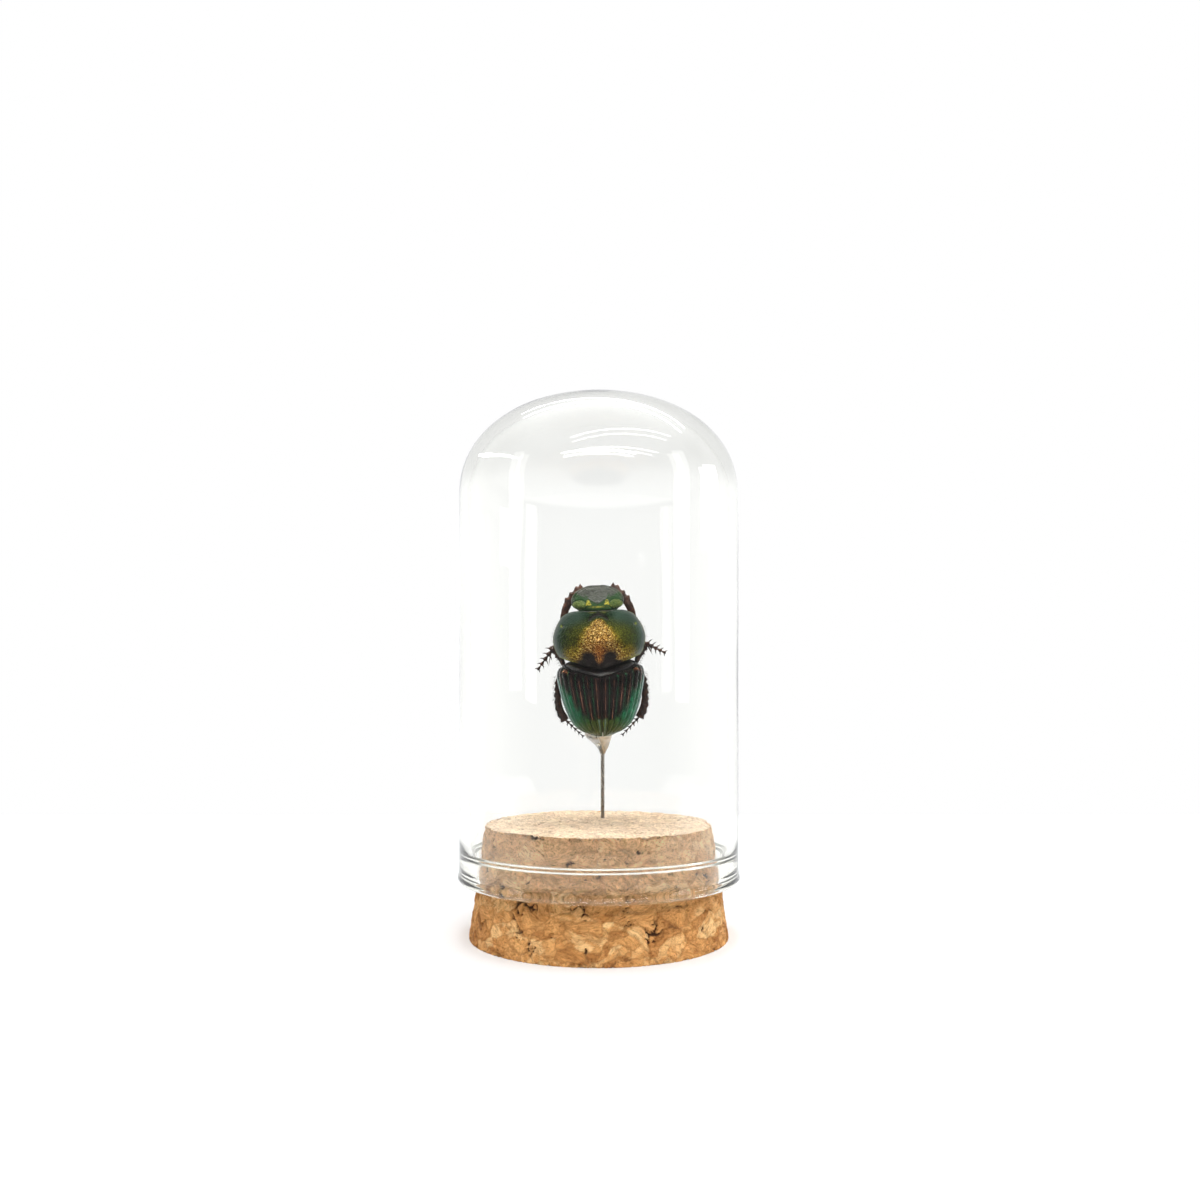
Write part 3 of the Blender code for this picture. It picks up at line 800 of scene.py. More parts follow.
# Height, half width on the back and the belly, depth of the back and the belly, sweep of the sides, y
HEAD_SECTIONS = [
    (12.98, 1.70, 1.70, 1.10, 0.90, 0.0, -0.65),
    (13.40, 1.90, 1.90, 1.20, 1.00, 0.0, -0.68),
    (13.75, 2.25, 2.25, 1.22, 1.00, 0.0, -0.62),
    (14.05, 2.65, 2.65, 1.18, 0.95, 0.0, -0.54),
    (14.30, 2.82, 2.82, 1.12, 0.90, 0.0, -0.42),
    (14.60, 2.86, 2.86, 1.02, 0.82, 0.0, -0.28),
    (14.95, 2.80, 2.80, 0.88, 0.75, 0.0, -0.12),
    (15.32, 2.60, 2.60, 0.72, 0.66, 0.0, 0.00),
    (15.70, 2.26, 2.26, 0.56, 0.55, 0.0, 0.10),
    (16.05, 1.72, 1.72, 0.40, 0.40, 0.0, 0.20),
    (16.27, 1.08, 1.08, 0.26, 0.26, 0.0, 0.27),
    (16.36, 0.50, 0.50, 0.12, 0.12, 0.0, 0.30),
]
PROTHORAX_SECTIONS = [
    (7.62, 4.30, 4.30, 3.75, 2.80, 1.10, 0.0),
    (8.35, 4.66, 4.66, 4.10, 3.10, 0.95, 0.0),
    (9.20, 4.88, 4.88, 4.30, 3.25, 0.82, 0.0),
    (10.10, 4.95, 4.95, 4.30, 3.25, 0.66, 0.0),
    (11.10, 4.76, 4.76, 4.02, 3.05, 0.42, 0.0),
    (11.80, 4.52, 4.52, 3.64, 2.90, 0.28, 0.0),
    (12.40, 4.25, 4.25, 3.24, 2.60, 0.16, 0.0),
    (12.90, 3.95, 3.95, 2.88, 2.35, 0.08, 0.0),
    (13.25, 3.60, 3.60, 2.60, 2.10, 0.0, 0.0),
    (13.50, 3.05, 3.05, 2.36, 1.90, 0.0, 0.0),
]
TRUNK_SECTIONS = [
    (0.42, 0.75, 0.95, 0.55, 0.95, 0.0, 0.58),
    (0.95, 1.70, 2.35, 1.25, 1.80, 0.0, 0.58),
    (1.80, 2.60, 3.20, 2.25, 2.45, 0.0, 0.58),
    (3.20, 3.35, 3.76, 3.25, 2.90, 0.0, 0.58),
    (5.00, 3.85, 4.28, 3.75, 3.22, 0.0, 0.58),
    (6.10, 4.00, 4.48, 3.85, 3.22, 0.1, 0.58),
    (6.90, 3.90, 4.20, 3.62, 3.05, 0.4, 0.55),
    (7.40, 3.55, 3.85, 3.25, 2.75, 0.6, 0.50),
    (7.85, 2.60, 3.00, 2.60, 2.30, 0.5, 0.40),
]
# Height, half width and depth of the back
ELYTRON_SECTIONS = [
    (0.02, 0.62, 0.55),
    (0.30, 1.40, 1.05),
    (0.83, 2.45, 1.80),
    (1.70, 3.30, 2.70),
    (3.20, 3.95, 3.50),
    (5.00, 4.44, 3.92),
    (6.40, 4.68, 4.02),
    (7.05, 4.52, 3.90),
    (7.40, 4.10, 3.72),
    (7.50, 3.70, 3.62),
]


def cuticle(pair, colour, roughness, metallic, normal, coat=0.0, specular=0.5):
    """The shader that all the beetle's hard parts share, in a pair of a material and its tree."""
    made, tree = pair
    shader = node(tree, "BsdfPrincipled", Base_Color=colour, Roughness=roughness, Metallic=metallic)
    shader.inputs["IOR"].default_value = 1.56
    shader.inputs["Specular IOR Level"].default_value = specular
    shader.inputs["Coat Weight"].default_value = coat
    shader.inputs["Coat Roughness"].default_value = 0.12
    tree.links.new(normal, shader.inputs["Normal"])
    finish_material(tree, shader)
    return made


def pronotum_material():
    pair = new_material("pronotum_gold_green")
    tree = pair[1]
    place = object_place(tree)
    gold, copper, olive, edge, dark, bead, belly = (
        field(tree, name) for name in ("gold", "copper", "olive", "edge", "dark", "bead", "belly")
    )
    colour = mix(tree, olive, (0.010, 0.042, 0.016), (0.105, 0.108, 0.011))
    # Painted sheen: the shield's sides and front corners are turned greyish teal, standing for grazing
    # reflections of the bright room.
    colour = mix(tree, edge, colour, (0.034, 0.062, 0.044))
    patch = rise(tree, noise_node(tree, place, 9.0, 2.0, 0.6), 0.36, 0.64)
    glitter = ramp(tree, patch, [
        (0.0, (0.07, 0.022, 0.006)),
        (0.42, (0.32, 0.140, 0.019)),
        (0.78, (0.72, 0.43, 0.068)),
        (1.0, (0.95, 0.70, 0.28)),
    ])
    ruddy = mix(tree, 1.0, glitter, (1.0, 0.62, 0.55), "MULTIPLY")
    glitter = mix(tree, copper, glitter, ruddy)
    olive_glitter = mix(tree, 1.0, glitter, (0.58, 0.66, 0.22), "MULTIPLY")
    glitter = mix(tree, rise(tree, gold, 0.25, 0.95), olive_glitter, glitter)
    colour = mix(tree, rise(tree, gold, 0.0, 0.6), colour, glitter)
    speck = node(tree, "TexVoronoi", {"feature": "F1"}, Vector=place, Scale=6.5)
    grain = rise(tree, speck.outputs["Distance"], 0.10, 0.62, 1.30, 0.42)
    shade = node(tree, "CombineColor", Red=grain, Green=grain, Blue=grain)
    grained = mix(tree, 1.0, colour, shade.outputs[0], "MULTIPLY")
    colour = mix(tree, math_node(tree, "SUBTRACT", 1.0, edge), colour, grained)
    colour = mix(tree, dark, colour, (0.006, 0.003, 0.002))
    colour = mix(tree, bead, colour, (0.30, 0.34, 0.05))
    colour = mix(tree, belly, colour, (0.010, 0.012, 0.008))
    rough = rise(tree, edge, 0.0, 1.0, 0.28, 0.42)
    metal = rise(tree, dark, 0.0, 1.0, 0.94, 0.80)
    fine = noise_node(tree, place, 12.0, 3.0, 0.6)
    return cuticle(pair, colour, rough, metal, bump(tree, fine, 0.00004, 0.5))


def pronotum_fields(grid, half):
    """Where the shield is gold, olive, dark and so on, from places on its back."""
    x, y, z = (grid[..., n] for n in range(3))
    u = x / half
    ax = np.abs(x)
    wobble = noise(grid, 0.7, 111, 3)
    centre_width = np.interp(z, [7.5, 8.2, 9.2, 10.4, 11.6, 12.4], [2.5, 2.8, 2.6, 2.0, 1.15, 0.45])
    gold = step(1.55, 0.35, ax / (centre_width + 0.5 * wobble)) * step(12.65, 12.2, z)
    wings = step(4.6, 3.0, ax) * step(9.9, 8.5, z - 0.10 * ax + 0.3 * wobble)
    gold = np.maximum(gold, 0.45 * wings)
    copper = hill(x, 0.9) * hill(z - 8.9, 1.2)
    olive = step(1.0, 0.35, np.abs(u) + 0.12 * wobble) * step(13.3, 11.2, z + 0.12 * ax)
    olive = np.clip(olive + 0.9 * hill(ax - 0.62, 0.42) * hill(z - 13.24, 0.16), 0, 1)
    # edge marks the painted greyish-teal sheen on the sides and front corners, where the shield is also
    # rougher.
    edge = step(0.78, 0.96, np.abs(u)) + 0.85 * step(11.8, 13.2, z + 0.18 * ax) * step(1.0, 2.2, ax)
    edge = np.clip(edge, 0, 1)
    crescent_z = 12.98 - 0.42 * (ax / 0.9) ** 2
    dark = 0.98 * hill(z - crescent_z, 0.24) * step(1.25, 0.9, ax)
    dark += 0.95 * hill(x, 0.09) * step(12.9, 13.05, z)
    dark += 0.95 * hill(z - 13.44, 0.085) * step(2.0, 1.3, ax)
    lobes = np.where(x < 0, x + 1.18, x - 1.08)
    dark += 1.7 * np.exp(-((lobes / 0.80) ** 2) - ((z - 8.45 - 0.1 * wobble) / 0.60) ** 2)
    dark += 0.98 * step(8.30, 7.85, z - 0.03 * x * x + 0.25 * wobble) * step(3.4, 1.8, ax)
    across, upward = ax - 3.86, z - 11.9
    fovea = np.exp(-((across / 0.15) ** 2) - (upward / 0.17) ** 2)
    ring = np.exp(-(((across - 0.12) / 0.10) ** 2) - ((upward - 0.03) / 0.14) ** 2) * (y < 0)
    dark = np.clip(dark + fovea - ring, 0, 1)
    return gold, copper, olive, edge, dark, fovea, ring


def prothorax():
    rows = 170
    angles = section_angles(90, 260)
    grid = body_loft(PROTHORAX_SECTIONS, rows, angles)
    half = smooth_path(PROTHORAX_SECTIONS, rows)[:, 1][:, None]
    deep = np.sin(angles)[None, :] * np.ones((rows, 1))
    back = step(0.02, -0.10, deep)
    gold, copper, olive, edge, dark, fovea, ring = pronotum_fields(grid, half)
    t = np.linspace(0, 1, rows)[:, None] * np.ones_like(deep)
    margin = np.clip(hill(deep + 0.02, 0.045) + hill(t, 0.012) * (deep < 0.02), 0, 1)
    groove = hill(deep + 0.11, 0.035) * step(0.02, 0.06, t)
    first, _, _ = cells(grid * np.array([1.0, 0.7, 1.0]), 0.20, 121)
    granule = 1 - np.clip(first / 0.115, 0, 1) ** 2
    rough = back * (1 - 0.75 * edge) * step(0.985, 0.9, t) * (1 - 0.7 * margin)
    height = (0.040 + 0.018 * gold) * granule * rough + 0.012 * noise(grid, 1.3, 123, 2)
    height += 0.055 * margin - 0.03 * groove - 0.10 * fovea * back
    height -= 0.07 * dark * back * step(12.2, 12.4, grid[..., 2])
    height -= 0.10 * hill(grid[..., 0], 0.16) * step(9.4, 8.0, grid[..., 2]) * back
    belly = 1 - back
    height += belly * (0.05 * noise(grid, 1.1, 125, 3) - 0.10 * hill(grid[..., 0], 0.12))
    shaped = grid + outward_normals(grid, True) * height[..., None]
    shaped[..., 2] -= 0.38 * hill(grid[..., 0], 1.7) * step(9.5, 7.6, grid[..., 2]) * back
    points, faces, source = closed_loft(shaped, (0.95, 1.3), 6)
    bead = 0.85 * hill(deep + 0.02, 0.04) * step(0.0, 0.1, t) + 0.8 * ring
    bead += 0.5 * hill(t, 0.02) * step(2.2, 3.4, np.abs(grid[..., 0])) * back
    bead = np.clip(bead, 0, 1)
    fields = {"gold": gold * back, "copper": copper, "olive": olive, "edge": edge}
    fields.update(dark=dark * back, bead=bead, belly=belly * (1 - bead))
    finish, slot = pronotum_material(), "gold_green_cuticle"
    replaced = ["prothorax"]
    piece("prothorax_shield", points, faces, finish, replaced, BEETLE_FRAME, spread(fields, source))


def elytron_material():
    pair = new_material("elytron_ribbed")
    tree = pair[1]
    place = object_place(tree)
    green, olive, groove, copper, sheen, crest = (
        field(tree, name) for name in ("green", "olive", "groove", "copper", "sheen", "crest")
    )
    patch = noise_node(tree, place, 1.6, 3.0, 0.6)
    disc = ramp(tree, patch, [(0.40, (0.003, 0.002, 0.002)), (0.72, (0.018, 0.007, 0.005))])
    # Painted highlight: thin tan lines along the rib crests on the black disc, standing for a reflected
    # strip lamp.
    disc = mix(tree, crest, disc, (0.27, 0.12, 0.075))
    emerald = ramp(tree, patch, [(0.35, (0.005, 0.058, 0.024)), (0.65, (0.012, 0.135, 0.062))])
    side = mix(tree, olive, emerald, (0.050, 0.078, 0.008))
    # Painted sheen: pale teal at the outer edge and beside the suture near the tail, standing for grazing
    # reflections.
    side = mix(tree, sheen, side, (0.10, 0.19, 0.19))
    colour = mix(tree, green, disc, side)
    line = mix(tree, green, (0.010, 0.085, 0.035), (0.002, 0.012, 0.006))
    colour = mix(tree, groove, colour, line)
    colour = mix(tree, copper, colour, (0.30, 0.11, 0.04))
    fine = noise_node(tree, place, 11.0, 3.0, 0.6)
    rough = rise(tree, fine, 0.3, 0.75, 0.17, 0.30)
    return cuticle(pair, colour, rough, 0.88, bump(tree, fine, 0.00004, 0.3))


def elytron_parameter(count):
    """Angles that space count points evenly along a wing case's section, from the suture outwards."""
    angle = np.linspace(0, math.pi / 2, 400)
    x, y = 4.5 * np.sin(angle) ** SECTION_POWER, 4.4 * np.cos(angle) ** SECTION_POWER
    length = np.concatenate([[0], np.cumsum(np.hypot(np.diff(x), np.diff(y)))])
    return np.interp(np.linspace(0, 1, count), length / length[-1], angle)


def elytron(side, finish):
    """One ribbed wing case: eight raised intervals between fine striae, closed by its inner face."""
    sign, rows, columns, intervals = SIDES[side], 190, 190, 8
    z, half, back = smooth_path(ELYTRON_SECTIONS, rows).T[:, :, None]
    angle = elytron_parameter(columns)[None, :]
    s = np.linspace(0, 1, columns)[None, :] * np.ones((rows, 1))
    gap = 0.035
    x = gap + (half - gap) * np.sin(angle) ** SECTION_POWER
    y = ELYTRON_EDGE_Y - (ELYTRON_EDGE_Y + back) * np.cos(angle) ** SECTION_POWER
    droop = 1.25 * np.clip(1 - x / 4.1, 0, 1) - 0.40 * step(2.9, 4.1, x)
    grid = np.stack([x, y, z - droop * (np.clip(z - 4.2, 0, None) / 3.3) ** 2], -1)
    normal = outward_normals(grid, False, columns // 2)
    phase = (s * intervals) % 1.0
    across = np.abs(2 * phase - 1)
    full = z + 0 * x
    along = step(7.42, 7.1, full) * step(0.1, 0.7, full)
    rib = 0.085 * (1 - across**2.4) * along
    stria = hill(1 - across, 0.10) * along * step(0.04, 0.08, s) * step(0.97, 0.93, s)
    dots = 0.5 + 0.5 * np.cos(2 * math.pi * grid[..., 2] / 0.26 + 7 * np.floor(s * intervals + 0.5))
    height = rib - 0.06 * stria * (0.6 + 0.4 * dots) + 0.008 * noise(grid, 2.2, 131, 2)
    height += 0.07 * hill(s, 0.02) * step(7.3, 6.9, full)
    height += 0.05 * hill(s - 1.0, 0.02) + 0.10 * hill(full - 7.44, 0.06) - 0.08 * hill(full - 7.28, 0.07)
    hump = hill(grid[..., 0] - 3.75, 0.5) * hill(grid[..., 2] - 6.95, 0.42)
    height += 0.13 * hump
    outer = grid + normal * height[..., None]
    inner = grid - normal * 0.20
    points = np.concatenate([outer.reshape(-1, 3), inner.reshape(-1, 3)])
    points[:, 0] *= sign
    faces = grid_faces(rows, columns, False)
    shift = rows * columns
    faces += [[v + shift for v in face[::-1]] for face in faces]
    edge = list(range(columns))
    edge += [i * columns + columns - 1 for i in range(1, rows)]
    edge += [(rows - 1) * columns + j for j in range(columns - 2, -1, -1)]
    edge += [i * columns for i in range(rows - 2, 0, -1)]
    faces += [[b, a, a + shift, b + shift] for a, b in zip(edge, edge[1:] + edge[:1])]
    if sign < 0:
        faces = [face[::-1] for face in faces]
    u = grid[..., 0] / half
    ribbon = (np.floor(s * intervals) + 0.5) / intervals
    level = full + 0.7 * noise(np.stack([ribbon * 9, 0 * s, full * 0.5], -1), 0.9, 133, 2)
    bound = np.interp(level, [1.7, 2.3, 3.2, 4.4, 5.6, 6.8], [-0.1, 0.22, 0.42, 0.56, 0.68, 0.90])
    green = step(-0.07, 0.10, 0.5 * (s + ribbon) - bound)
    olive = step(3.3, 1.2, full + 1.8 * (u - 0.2))
    # Painted sheen: along the outermost edge, and beside the suture towards the tail.
    sheen = step(0.93, 0.995, u) * step(0.8, 2.2, full)
    sheen = np.clip(sheen + 0.8 * hill(s - 0.055, 0.02) * step(3.0, 1.6, grid[..., 2]), 0, 1)
    copper = hump * step(0.45, 0.85, hump) * np.clip(0.25 + 0.9 * noise(grid, 4.0, 135), 0, 1)
    broken = np.clip(0.45 + 0.9 * noise(grid, 0.9, 137, 2), 0, 1)
    # Painted highlight along the crest of each rib on the black disc, broken in places and left off the
    # green parts.
    crest = hill(across, 0.10) * (1 - green) * step(7.0, 6.4, full) * broken
    fields = {"green": green, "olive": olive, "groove": stria, "copper": copper}
    fields.update(sheen=sheen, crest=crest)
    fields = {key: np.concatenate([np.clip(v, 0, 1).reshape(-1)] * 2) for key, v in fields.items()}
    name, replaced = "elytron_ribbed_" + side, ["elytron_" + side]
    piece(name, points, faces, finish, replaced, BEETLE_FRAME, fields)


def head_material():
    pair = new_material("head_rugose")
    tree = pair[1]
    place = object_place(tree)
    eye, gold, green, under = (field(tree, name) for name in ("eye", "gold", "green", "under"))
    rugose = noise_node(tree, place, 5.5, 4.0, 0.6, 0.6)
    colour = ramp(tree, rugose, [(0.35, (0.005, 0.006, 0.004)), (0.65, (0.040, 0.043, 0.032))])
    colour = mix(tree, green, colour, (0.018, 0.050, 0.016))
    facets = node(tree, "TexVoronoi", {"feature": "DISTANCE_TO_EDGE"}, Vector=place, Scale=5.0)
    net = rise(tree, facets.outputs["Distance"], 0.0, 0.12)
    mottled = ramp(tree, rugose, [(0.35, (0.030, 0.055, 0.012)), (0.65, (0.17, 0.21, 0.055))])
    eye_colour = mix(tree, net, (0.050, 0.085, 0.022), mottled)
    colour = mix(tree, eye, colour, eye_colour)
    brass = ramp(tree, rugose, [(0.38, (0.060, 0.065, 0.010)), (0.60, (0.42, 0.36, 0.040))])
    colour = mix(tree, gold, colour, brass)
    colour = mix(tree, under, colour, (0.010, 0.008, 0.007))
    coloured = math_node(tree, "ADD", math_node(tree, "ADD", gold, green), eye)
    metal = rise(tree, coloured, 0.0, 0.8, 0.25, 0.85)
    return cuticle(pair, colour, 0.36, metal, bump(tree, rugose, 0.00016, 0.6), specular=0.3)


def head():
    rows = 130
    angles = section_angles(70, 180)
    grid = body_loft(HEAD_SECTIONS, rows, angles)
    half = smooth_path(HEAD_SECTIONS, rows)[:, 1][:, None]
    x, z = grid[..., 0], grid[..., 2]
    ax = np.abs(x)
    deep = np.sin(angles)[None, :] * np.ones((rows, 1))
    back = step(0.02, -0.12, deep)
    across = ax - 2.02
    upward = (z - 14.20) - 0.08 * across
    oval = (across / 0.74) ** 2 + (upward / (0.50 - 0.12 * across)) ** 2
    eye = step(1.08, 0.85, oval) * back
    edge_distance = np.minimum((1 - ax / np.maximum(half, 0.2)) * half, (16.36 - z) * 1.2)
    rim = hill(edge_distance - 0.06, 0.09) * step(14.5, 14.9, z)
    rim_groove = hill(edge_distance - 0.28, 0.10) * step(14.5, 14.9, z)
    ridge = hill(z - (14.18 + 0.68 * ax), 0.10) * step(1.3, 0.9, ax)
    tubercle = np.exp(-((x / 0.17) ** 2) - ((z - 14.38) / 0.15) ** 2)
    height = 0.11 * np.sqrt(np.clip(1.05 - oval, 0, 1)) * back - 0.06 * hill(oval - 1.15, 0.22) * back
    height += back * (0.07 * rim - 0.04 * rim_groove + 0.05 * ridge + 0.11 * tubercle)
    clypeus = step(14.2, 14.5, z - 0.35 * ax) * (1 - eye) * back
    height += 0.045 * clypeus * noise(grid, 3.2, 141, 3) + 0.02 * noise(grid, 1.5, 143, 2)
    first, _, _ = cells(grid, 0.17, 145)
    height += 0.026 * eye * (1 - np.clip(first / 0.1, 0, 1) ** 2)
    shaped = grid + outward_normals(grid, True) * height[..., None]
    points, faces, source = closed_loft(shaped, rings=3)
    triangle = np.abs(ax - 1.02) / np.maximum(0.06 + 0.42 * (14.74 - z), 0.03)
    gold = step(1.25, 0.75, triangle) * step(14.74, 14.62, z) * step(14.02, 14.14, z)
    gold += 0.8 * np.exp(-((ax / 0.75) ** 2) - ((z - 13.86) / 0.09) ** 2)
    slant = (ax - 1.16) - 0.55 * (z - 15.0)
    streak = np.exp(-((slant / 0.11) ** 2) - ((z - 15.05) / 0.24) ** 2)
    green = np.clip(step(14.30, 13.95, z - 0.60 * ax) * step(2.9, 2.2, ax) + 0.9 * streak, 0, 1) * back
    gold = np.clip(gold, 0, 1) * back * (1 - eye)
    fields = spread({"eye": eye, "gold": gold, "green": green, "under": 1 - back}, source)
    piece("head_shovel", points, faces, head_material(), ["head"], BEETLE_FRAME, fields)


def black_material(name, lowest, highest):
    pair = new_material(name)
    tree = pair[1]
    place = object_place(tree)
    patch = noise_node(tree, place, 1.8, 4.0, 0.6)
    colour = ramp(tree, patch, [(0.35, lowest), (0.75, highest)])
    pits = node(tree, "TexVoronoi", {"feature": "F1"}, Vector=place, Scale=4.5)
    dent = rise(tree, pits.outputs["Distance"], 0.05, 0.35)
    grain = math_node(tree, "MULTIPLY", noise_node(tree, place, 9.0, 3.0), 0.5)
    fine = math_node(tree, "ADD", dent, grain)
    return cuticle(pair, colour, 0.30, 0.0, bump(tree, fine, 0.00006, 0.7), 0.12, 0.28)


def thorax_abdomen(finish):
    """The hind body: plates of the breast, ridged belly rings and the tail plate."""
    rows = 170
    angles = np.linspace(0, 2 * math.pi, 180, endpoint=False)
    grid = body_loft(TRUNK_SECTIONS, rows, angles)
    x, z = grid[..., 0], grid[..., 2]
    deep = np.sin(angles)[None, :] * np.ones((rows, 1))
    belly = step(0.05, 0.25, deep)
    height = 0.02 * noise(grid, 1.6, 151, 3)
    for place in (1.0, 1.55, 2.05, 2.5, 2.95, 3.4):
        bent = z - place - 0.03 * x * x
        height -= belly * (0.13 * hill(bent, 0.06) - 0.05 * hill(bent - 0.22, 0.14))
    height -= belly * 0.14 * hill(x, 0.07) * step(4.0, 4.6, z)
    for place, slant in ((4.05, 0.30), (5.75, -0.10)):
        height -= belly * 0.16 * hill(z - place - slant * np.abs(x), 0.08) * step(0.3, 0.9, np.abs(x))
    hips = hill(np.abs(x) - 2.2, 0.75) * (hill(z - 4.75, 0.5) + hill(z - 6.55, 0.5))
    height += 0.16 * belly * hips
    first, _, _ = cells(grid, 0.32, 153)
    height -= 0.022 * belly * step(0.12, 0.03, first)
    shaped = grid + outward_normals(grid, True) * height[..., None]
    points, faces, _ = closed_loft(shaped, rings=4)
    replaced = ["thorax_abdomen"]
    piece("thorax_abdomen_plates", points, faces, finish, replaced, BEETLE_FRAME)


# Limbs of the right side, in the beetle's frame
FORE_FEMUR = ((1.75, 3.95, 10.7), (3.1, 3.0, 11.8), (4.25, 1.75, 12.80))
MID_FEMUR = ((2.0, 4.05, 6.6), (3.1, 3.6, 7.15), (4.02, 2.95, 7.78))
HIND_FEMUR = ((2.1, 4.15, 4.8), (3.4, 3.55, 5.7), (4.62, 2.60, 6.68))
FORE_TIBIA = (
    (3.86, 1.50, 12.6),
    (3.62, 1.35, 13.8),
    (3.18, 1.35, 14.7),
    (2.74, 1.30, 15.2),
    (2.10, 1.25, 15.80),
    (1.44, 1.20, 16.22),
)
MID_TIBIA = ((4.05, 2.75, 7.90), (4.34, 2.7, 8.7), (4.72, 2.6, 9.5), (5.08, 2.5, 10.25))
HIND_TIBIA = ((4.62, 2.2, 6.80), (4.78, 2.0, 5.6), (4.80, 1.9, 4.3), (4.62, 1.85, 3.0), (4.05, 1.8, 1.85))
MID_TARSUS_TIPS = {"left": (6.95, 2.2, 7.55), "right": (7.30, 2.1, 8.85)}
MID_SPUR_TIPS = {"left": (5.75, 2.3, 7.9), "right": (5.85, 2.3, 8.7)}


def mirrored(points, sign):
    return np.asarray(points, float) * np.array([sign, 1.0, 1.0])


def teeth(rows, places, sharpness):
    """1 at each place along a limb, with a slow rise and a quick fall, as a row of hooked teeth."""
    t = np.linspace(0, 1, rows)
    total = np.zeros(rows)
    for place in places:
        gone = t - place
        rising = np.clip(1 + gone * sharpness, 0, 1)
        falling = np.clip(1 - gone * sharpness * 2.2, 0, 1)
        total = np.maximum(total, np.where(gone < 0, rising, falling))
    return total * total * (2.6 - 1.6 * total)


def limb_normals(line, sign):
    way = np.gradient(line, axis=0)
    out = np.cross(np.array([0.0, -1.0, 0.0]), way)
    out *= np.sign(out[:, :1] * sign)
    return out / np.linalg.norm(out, axis=1, keepdims=True)


def limb_piece(name, side, kind, points, faces, finish):
    node_name = name + "_" + side
    piece(node_name + "_" + kind, points, faces, finish, [node_name], BEETLE_FRAME)


def femur(name, line, side, finish):
    sign, rows = SIDES[side], 44
    t = np.linspace(0, 1, rows)
    shape = np.sqrt(np.clip(1 - np.abs(2 * t - 0.85) ** 2.6 / 1.5, 0.04, 1))
    path = mirrored(smooth_path(line, rows), sign)
    grid = bar(path, 0.50 * shape, 0.50 * shape, 0.34 * shape, 26)
    grid = grid + 0.02 * np.stack([noise(grid, 2.5, seed) for seed in (161, 162, 163)], -1)
    points, faces, _ = closed_loft(grid, rings=3)
    limb_piece(name, side, "shell", points, faces, finish)


def tibia(name, line, side, widths, places, tooth, thickness, finish, extra=()):
    """A leg's shin with hooked teeth. widths are its half widths at the start and the end, and then
    1 where the line runs towards the head and -1 where it runs back, which sets the teeth outside."""
    sign, rows = SIDES[side], 120
    t = np.linspace(0, 1, rows)
    path = mirrored(smooth_path(line, rows), sign)
    width = widths[0] + (widths[1] - widths[0]) * t
    width *= np.sqrt(np.clip(np.minimum(t / 0.05, (1 - t) / 0.03), 0.05, 1))
    bumps = tooth * teeth(rows, places, 9.0)
    out = bumps + width
    first, second = (width, out) if widths[2] * sign > 0 else (out, width)
    thick = thickness * np.sqrt(np.clip(np.minimum(t / 0.05, (1 - t) / 0.03), 0.2, 1))
    grid = bar(path, first, second, thick, 18)
    grid = grid + 0.025 * np.stack([noise(grid, 3.5, seed) for seed in (171, 172, 173)], -1)
    points, faces, _ = closed_loft(grid, rings=2)
    points, faces = join([(points, faces), *extra])
    limb_piece(name, side, "toothed", points, faces, finish)


def spike(root, tip, radius, sign):
    line = mirrored(np.linspace(root, tip, 12), sign)
    taper = radius * np.linspace(1.0, 0.08, 12)
    return closed_bar(line, taper, taper, taper * 0.7, around=10)


def tarsus(name, start, tip, side, half_width, finish):
    """Five flat triangular joints in a row, each with bristly far corners."""
    sign, segments, each = SIDES[side], 5, 16
    start, tip = np.array(start), np.array(tip)
    parts = []
    for n in range(segments):
        a = start + (tip - start) * n / segments
        b = start + (tip - start) * (n + 1.08) / segments
        t = np.linspace(0, 1, each)
        size = half_width * (1 - 0.13 * n)
        width = size * (0.22 + 0.78 * t**1.3) * np.where(t > 0.86, 1 - (t - 0.86) / 0.16, 1)
        line = mirrored(np.linspace(a, b, each), sign)
        parts.append(closed_bar(line, width, width, 0.09 + 0.05 * t, around=12))
        for out in (-1, 1):
            way = np.array([tip[2] - start[2], 0.0, -(tip[0] - start[0])]) * out
            way /= np.linalg.norm(way)
            corner = a + (b - a) * 0.80 + way * size * 0.8
            point = corner + way * size * 0.75 + (b - a) * 0.35
            parts.append(spike(corner, point, 0.075, sign))
    points, faces = join(parts)
    limb_piece(name, side, "joints", points, faces, finish)


def antenna(side, finish):
    """A jointed stalk with a club of three leaves."""
    sign = SIDES[side]
    line = smooth_path([(1.35, 0.62, 14.0), (1.60, 0.85, 14.4), (1.85, 1.00, 14.8), (1.92, 1.12, 15.0)], 40)
    t = np.linspace(0, 1, 40)
    beads = 0.085 + 0.03 * np.abs(np.sin(t * 7 * math.pi))
    parts = [closed_bar(mirrored(line, sign), beads, beads, beads, around=12)]
    for n in range(3):
        foot, middle, tip = 1.10 + 0.13 * n, 1.12 + 0.15 * n, 1.10 + 0.15 * n
        leaf = smooth_path([(1.92, foot, 14.95), (1.96, middle, 15.3), (1.90, tip, 15.68)], 20)
        s = np.linspace(0, 1, 20)
        wide = 0.33 * np.sqrt(np.clip(1 - (2 * s - 1) ** 2, 0.02, 1))
        parts.append(closed_bar(mirrored(leaf, sign), wide, wide, 0.055, around=12))
    points, faces = join(parts)
    limb_piece("antenna", side, "clubbed", points, faces, finish)


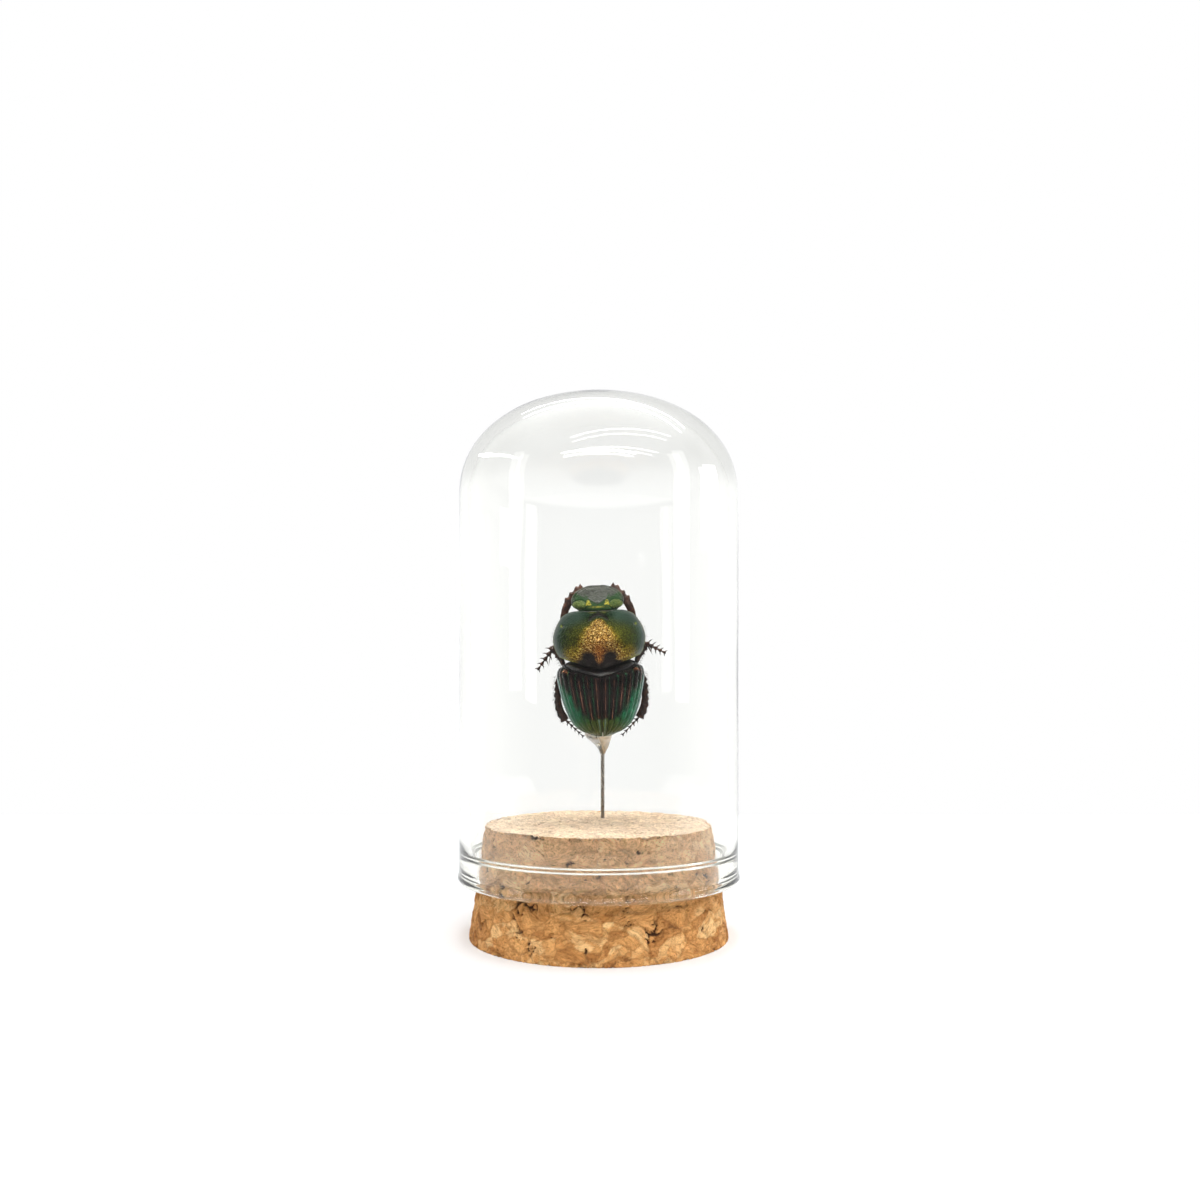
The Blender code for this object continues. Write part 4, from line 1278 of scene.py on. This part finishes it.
def legs(side, finish):
    sign = SIDES[side]
    femur("fore_femur", FORE_FEMUR, side, finish)
    femur("mid_femur", MID_FEMUR, side, finish)
    femur("hind_femur", HIND_FEMUR, side, finish)
    tibia("fore_tibia", FORE_TIBIA, side, (0.38, 0.50, 1), (0.46, 0.66, 0.84, 0.985), 0.20, 0.20, finish)
    spur = [spike((5.25, 2.45, 10.0), MID_SPUR_TIPS[side], 0.11, sign)]
    tibia("mid_tibia", MID_TIBIA, side, (0.22, 0.58, 1), (0.50, 0.72, 0.97), 0.16, 0.20, finish, spur)
    tibia("hind_tibia", HIND_TIBIA, side, (0.22, 0.44, -1), np.linspace(0.18, 0.97, 7), 0.13, 0.19, finish)
    tarsus("mid_tarsus", (4.98, 2.30, 10.08), MID_TARSUS_TIPS[side], side, 0.50, finish)
    tarsus("hind_tarsus", (4.10, 1.60, 1.95), (2.20, 1.60, 0.02), side, 0.24, finish)


# Places of the shield's side bristles
SHIELD_SIDE = smooth_path(
    [
        (4.38, 0.25, 8.9),
        (4.78, 0.25, 9.7),
        (4.95, 0.25, 10.8),
        (4.72, 0.2, 11.7),
        (4.15, 0.2, 12.5),
        (3.5, 0.15, 13.1),
    ],
    60,
)
# Line, count, distance from the line, outer or inner side, length and disorder of each row of bristles
BRISTLE_ROWS = [
    (HIND_TIBIA, 90, 0.36, 1, 0.34, 0.45),
    (HIND_TIBIA, 40, 0.34, -1, 0.30, 0.45),
    (MID_TIBIA, 50, 0.34, 1, 0.36, 0.5),
    (MID_TIBIA, 26, 0.30, -1, 0.3, 0.5),
    (FORE_TIBIA, 24, 0.30, -1, 0.20, 0.5),
    (FORE_FEMUR, 50, 0.40, 1, 0.40, 0.5),
    (MID_FEMUR, 30, 0.36, 1, 0.35, 0.5),
    (HIND_FEMUR, 30, 0.36, 1, 0.35, 0.5),
    (SHIELD_SIDE, 60, 0.0, 1, 0.42, 0.28),
]


def bristles():
    """Setae on the legs, round the shield's sides and under the body, as one joined mesh."""
    random = np.random.default_rng(7)
    roots, ways, lengths = [], [], []
    for line, count, reach, out, length, disorder in BRISTLE_ROWS:
        for sign in SIDES.values():
            path = mirrored(smooth_path(line, count), sign)
            normals = limb_normals(path, sign)
            for n in range(count):
                jitter = random.normal(size=3) * disorder
                roots.append(path[n] + normals[n] * reach * out + random.normal(size=3) * 0.03)
                ways.append(normals[n] * out + jitter + np.array([0, 0, -0.35]))
                lengths.append(length * random.uniform(0.6, 1.25))
    for side, tip in MID_TARSUS_TIPS.items():
        path = mirrored(np.linspace((5.0, 2.3, 10.1), tip, 30), SIDES[side])
        for place in path:
            roots.append(place + random.normal(size=3) * 0.05)
            ways.append(random.normal(size=3) * 0.8 + (path[-1] - path[0]) * 0.25)
            lengths.append(random.uniform(0.15, 0.34))
    points, faces = hairs(roots, ways, lengths, 0.014, 0.18, 9)
    made, tree = new_material("bristle_brown")
    tone = noise_node(tree, object_place(tree), 1.2, 2.0)
    colour = ramp(tree, tone, [(0.35, (0.030, 0.014, 0.008)), (0.7, (0.11, 0.055, 0.028))])
    shader = node(tree, "BsdfPrincipled", Base_Color=colour, Roughness=0.45)
    finish_material(tree, shader)
    piece("bristles", points, faces, made, None, BEETLE_FRAME)


def beetle():
    black = black_material("black_cuticle", (0.003, 0.002, 0.0015), (0.016, 0.007, 0.004))
    leg_finish = black_material("leg_cuticle", (0.008, 0.005, 0.004), (0.070, 0.026, 0.013))
    prothorax()
    head()
    thorax_abdomen(black)
    ribbed = elytron_material()
    for side in SIDES:
        elytron(side, ribbed)
        antenna(side, leg_finish)
        legs(side, leg_finish)
    bristles()


studio()
glass_dome()
cork_stopper()
insect_pin()
glue_drop()
beetle()
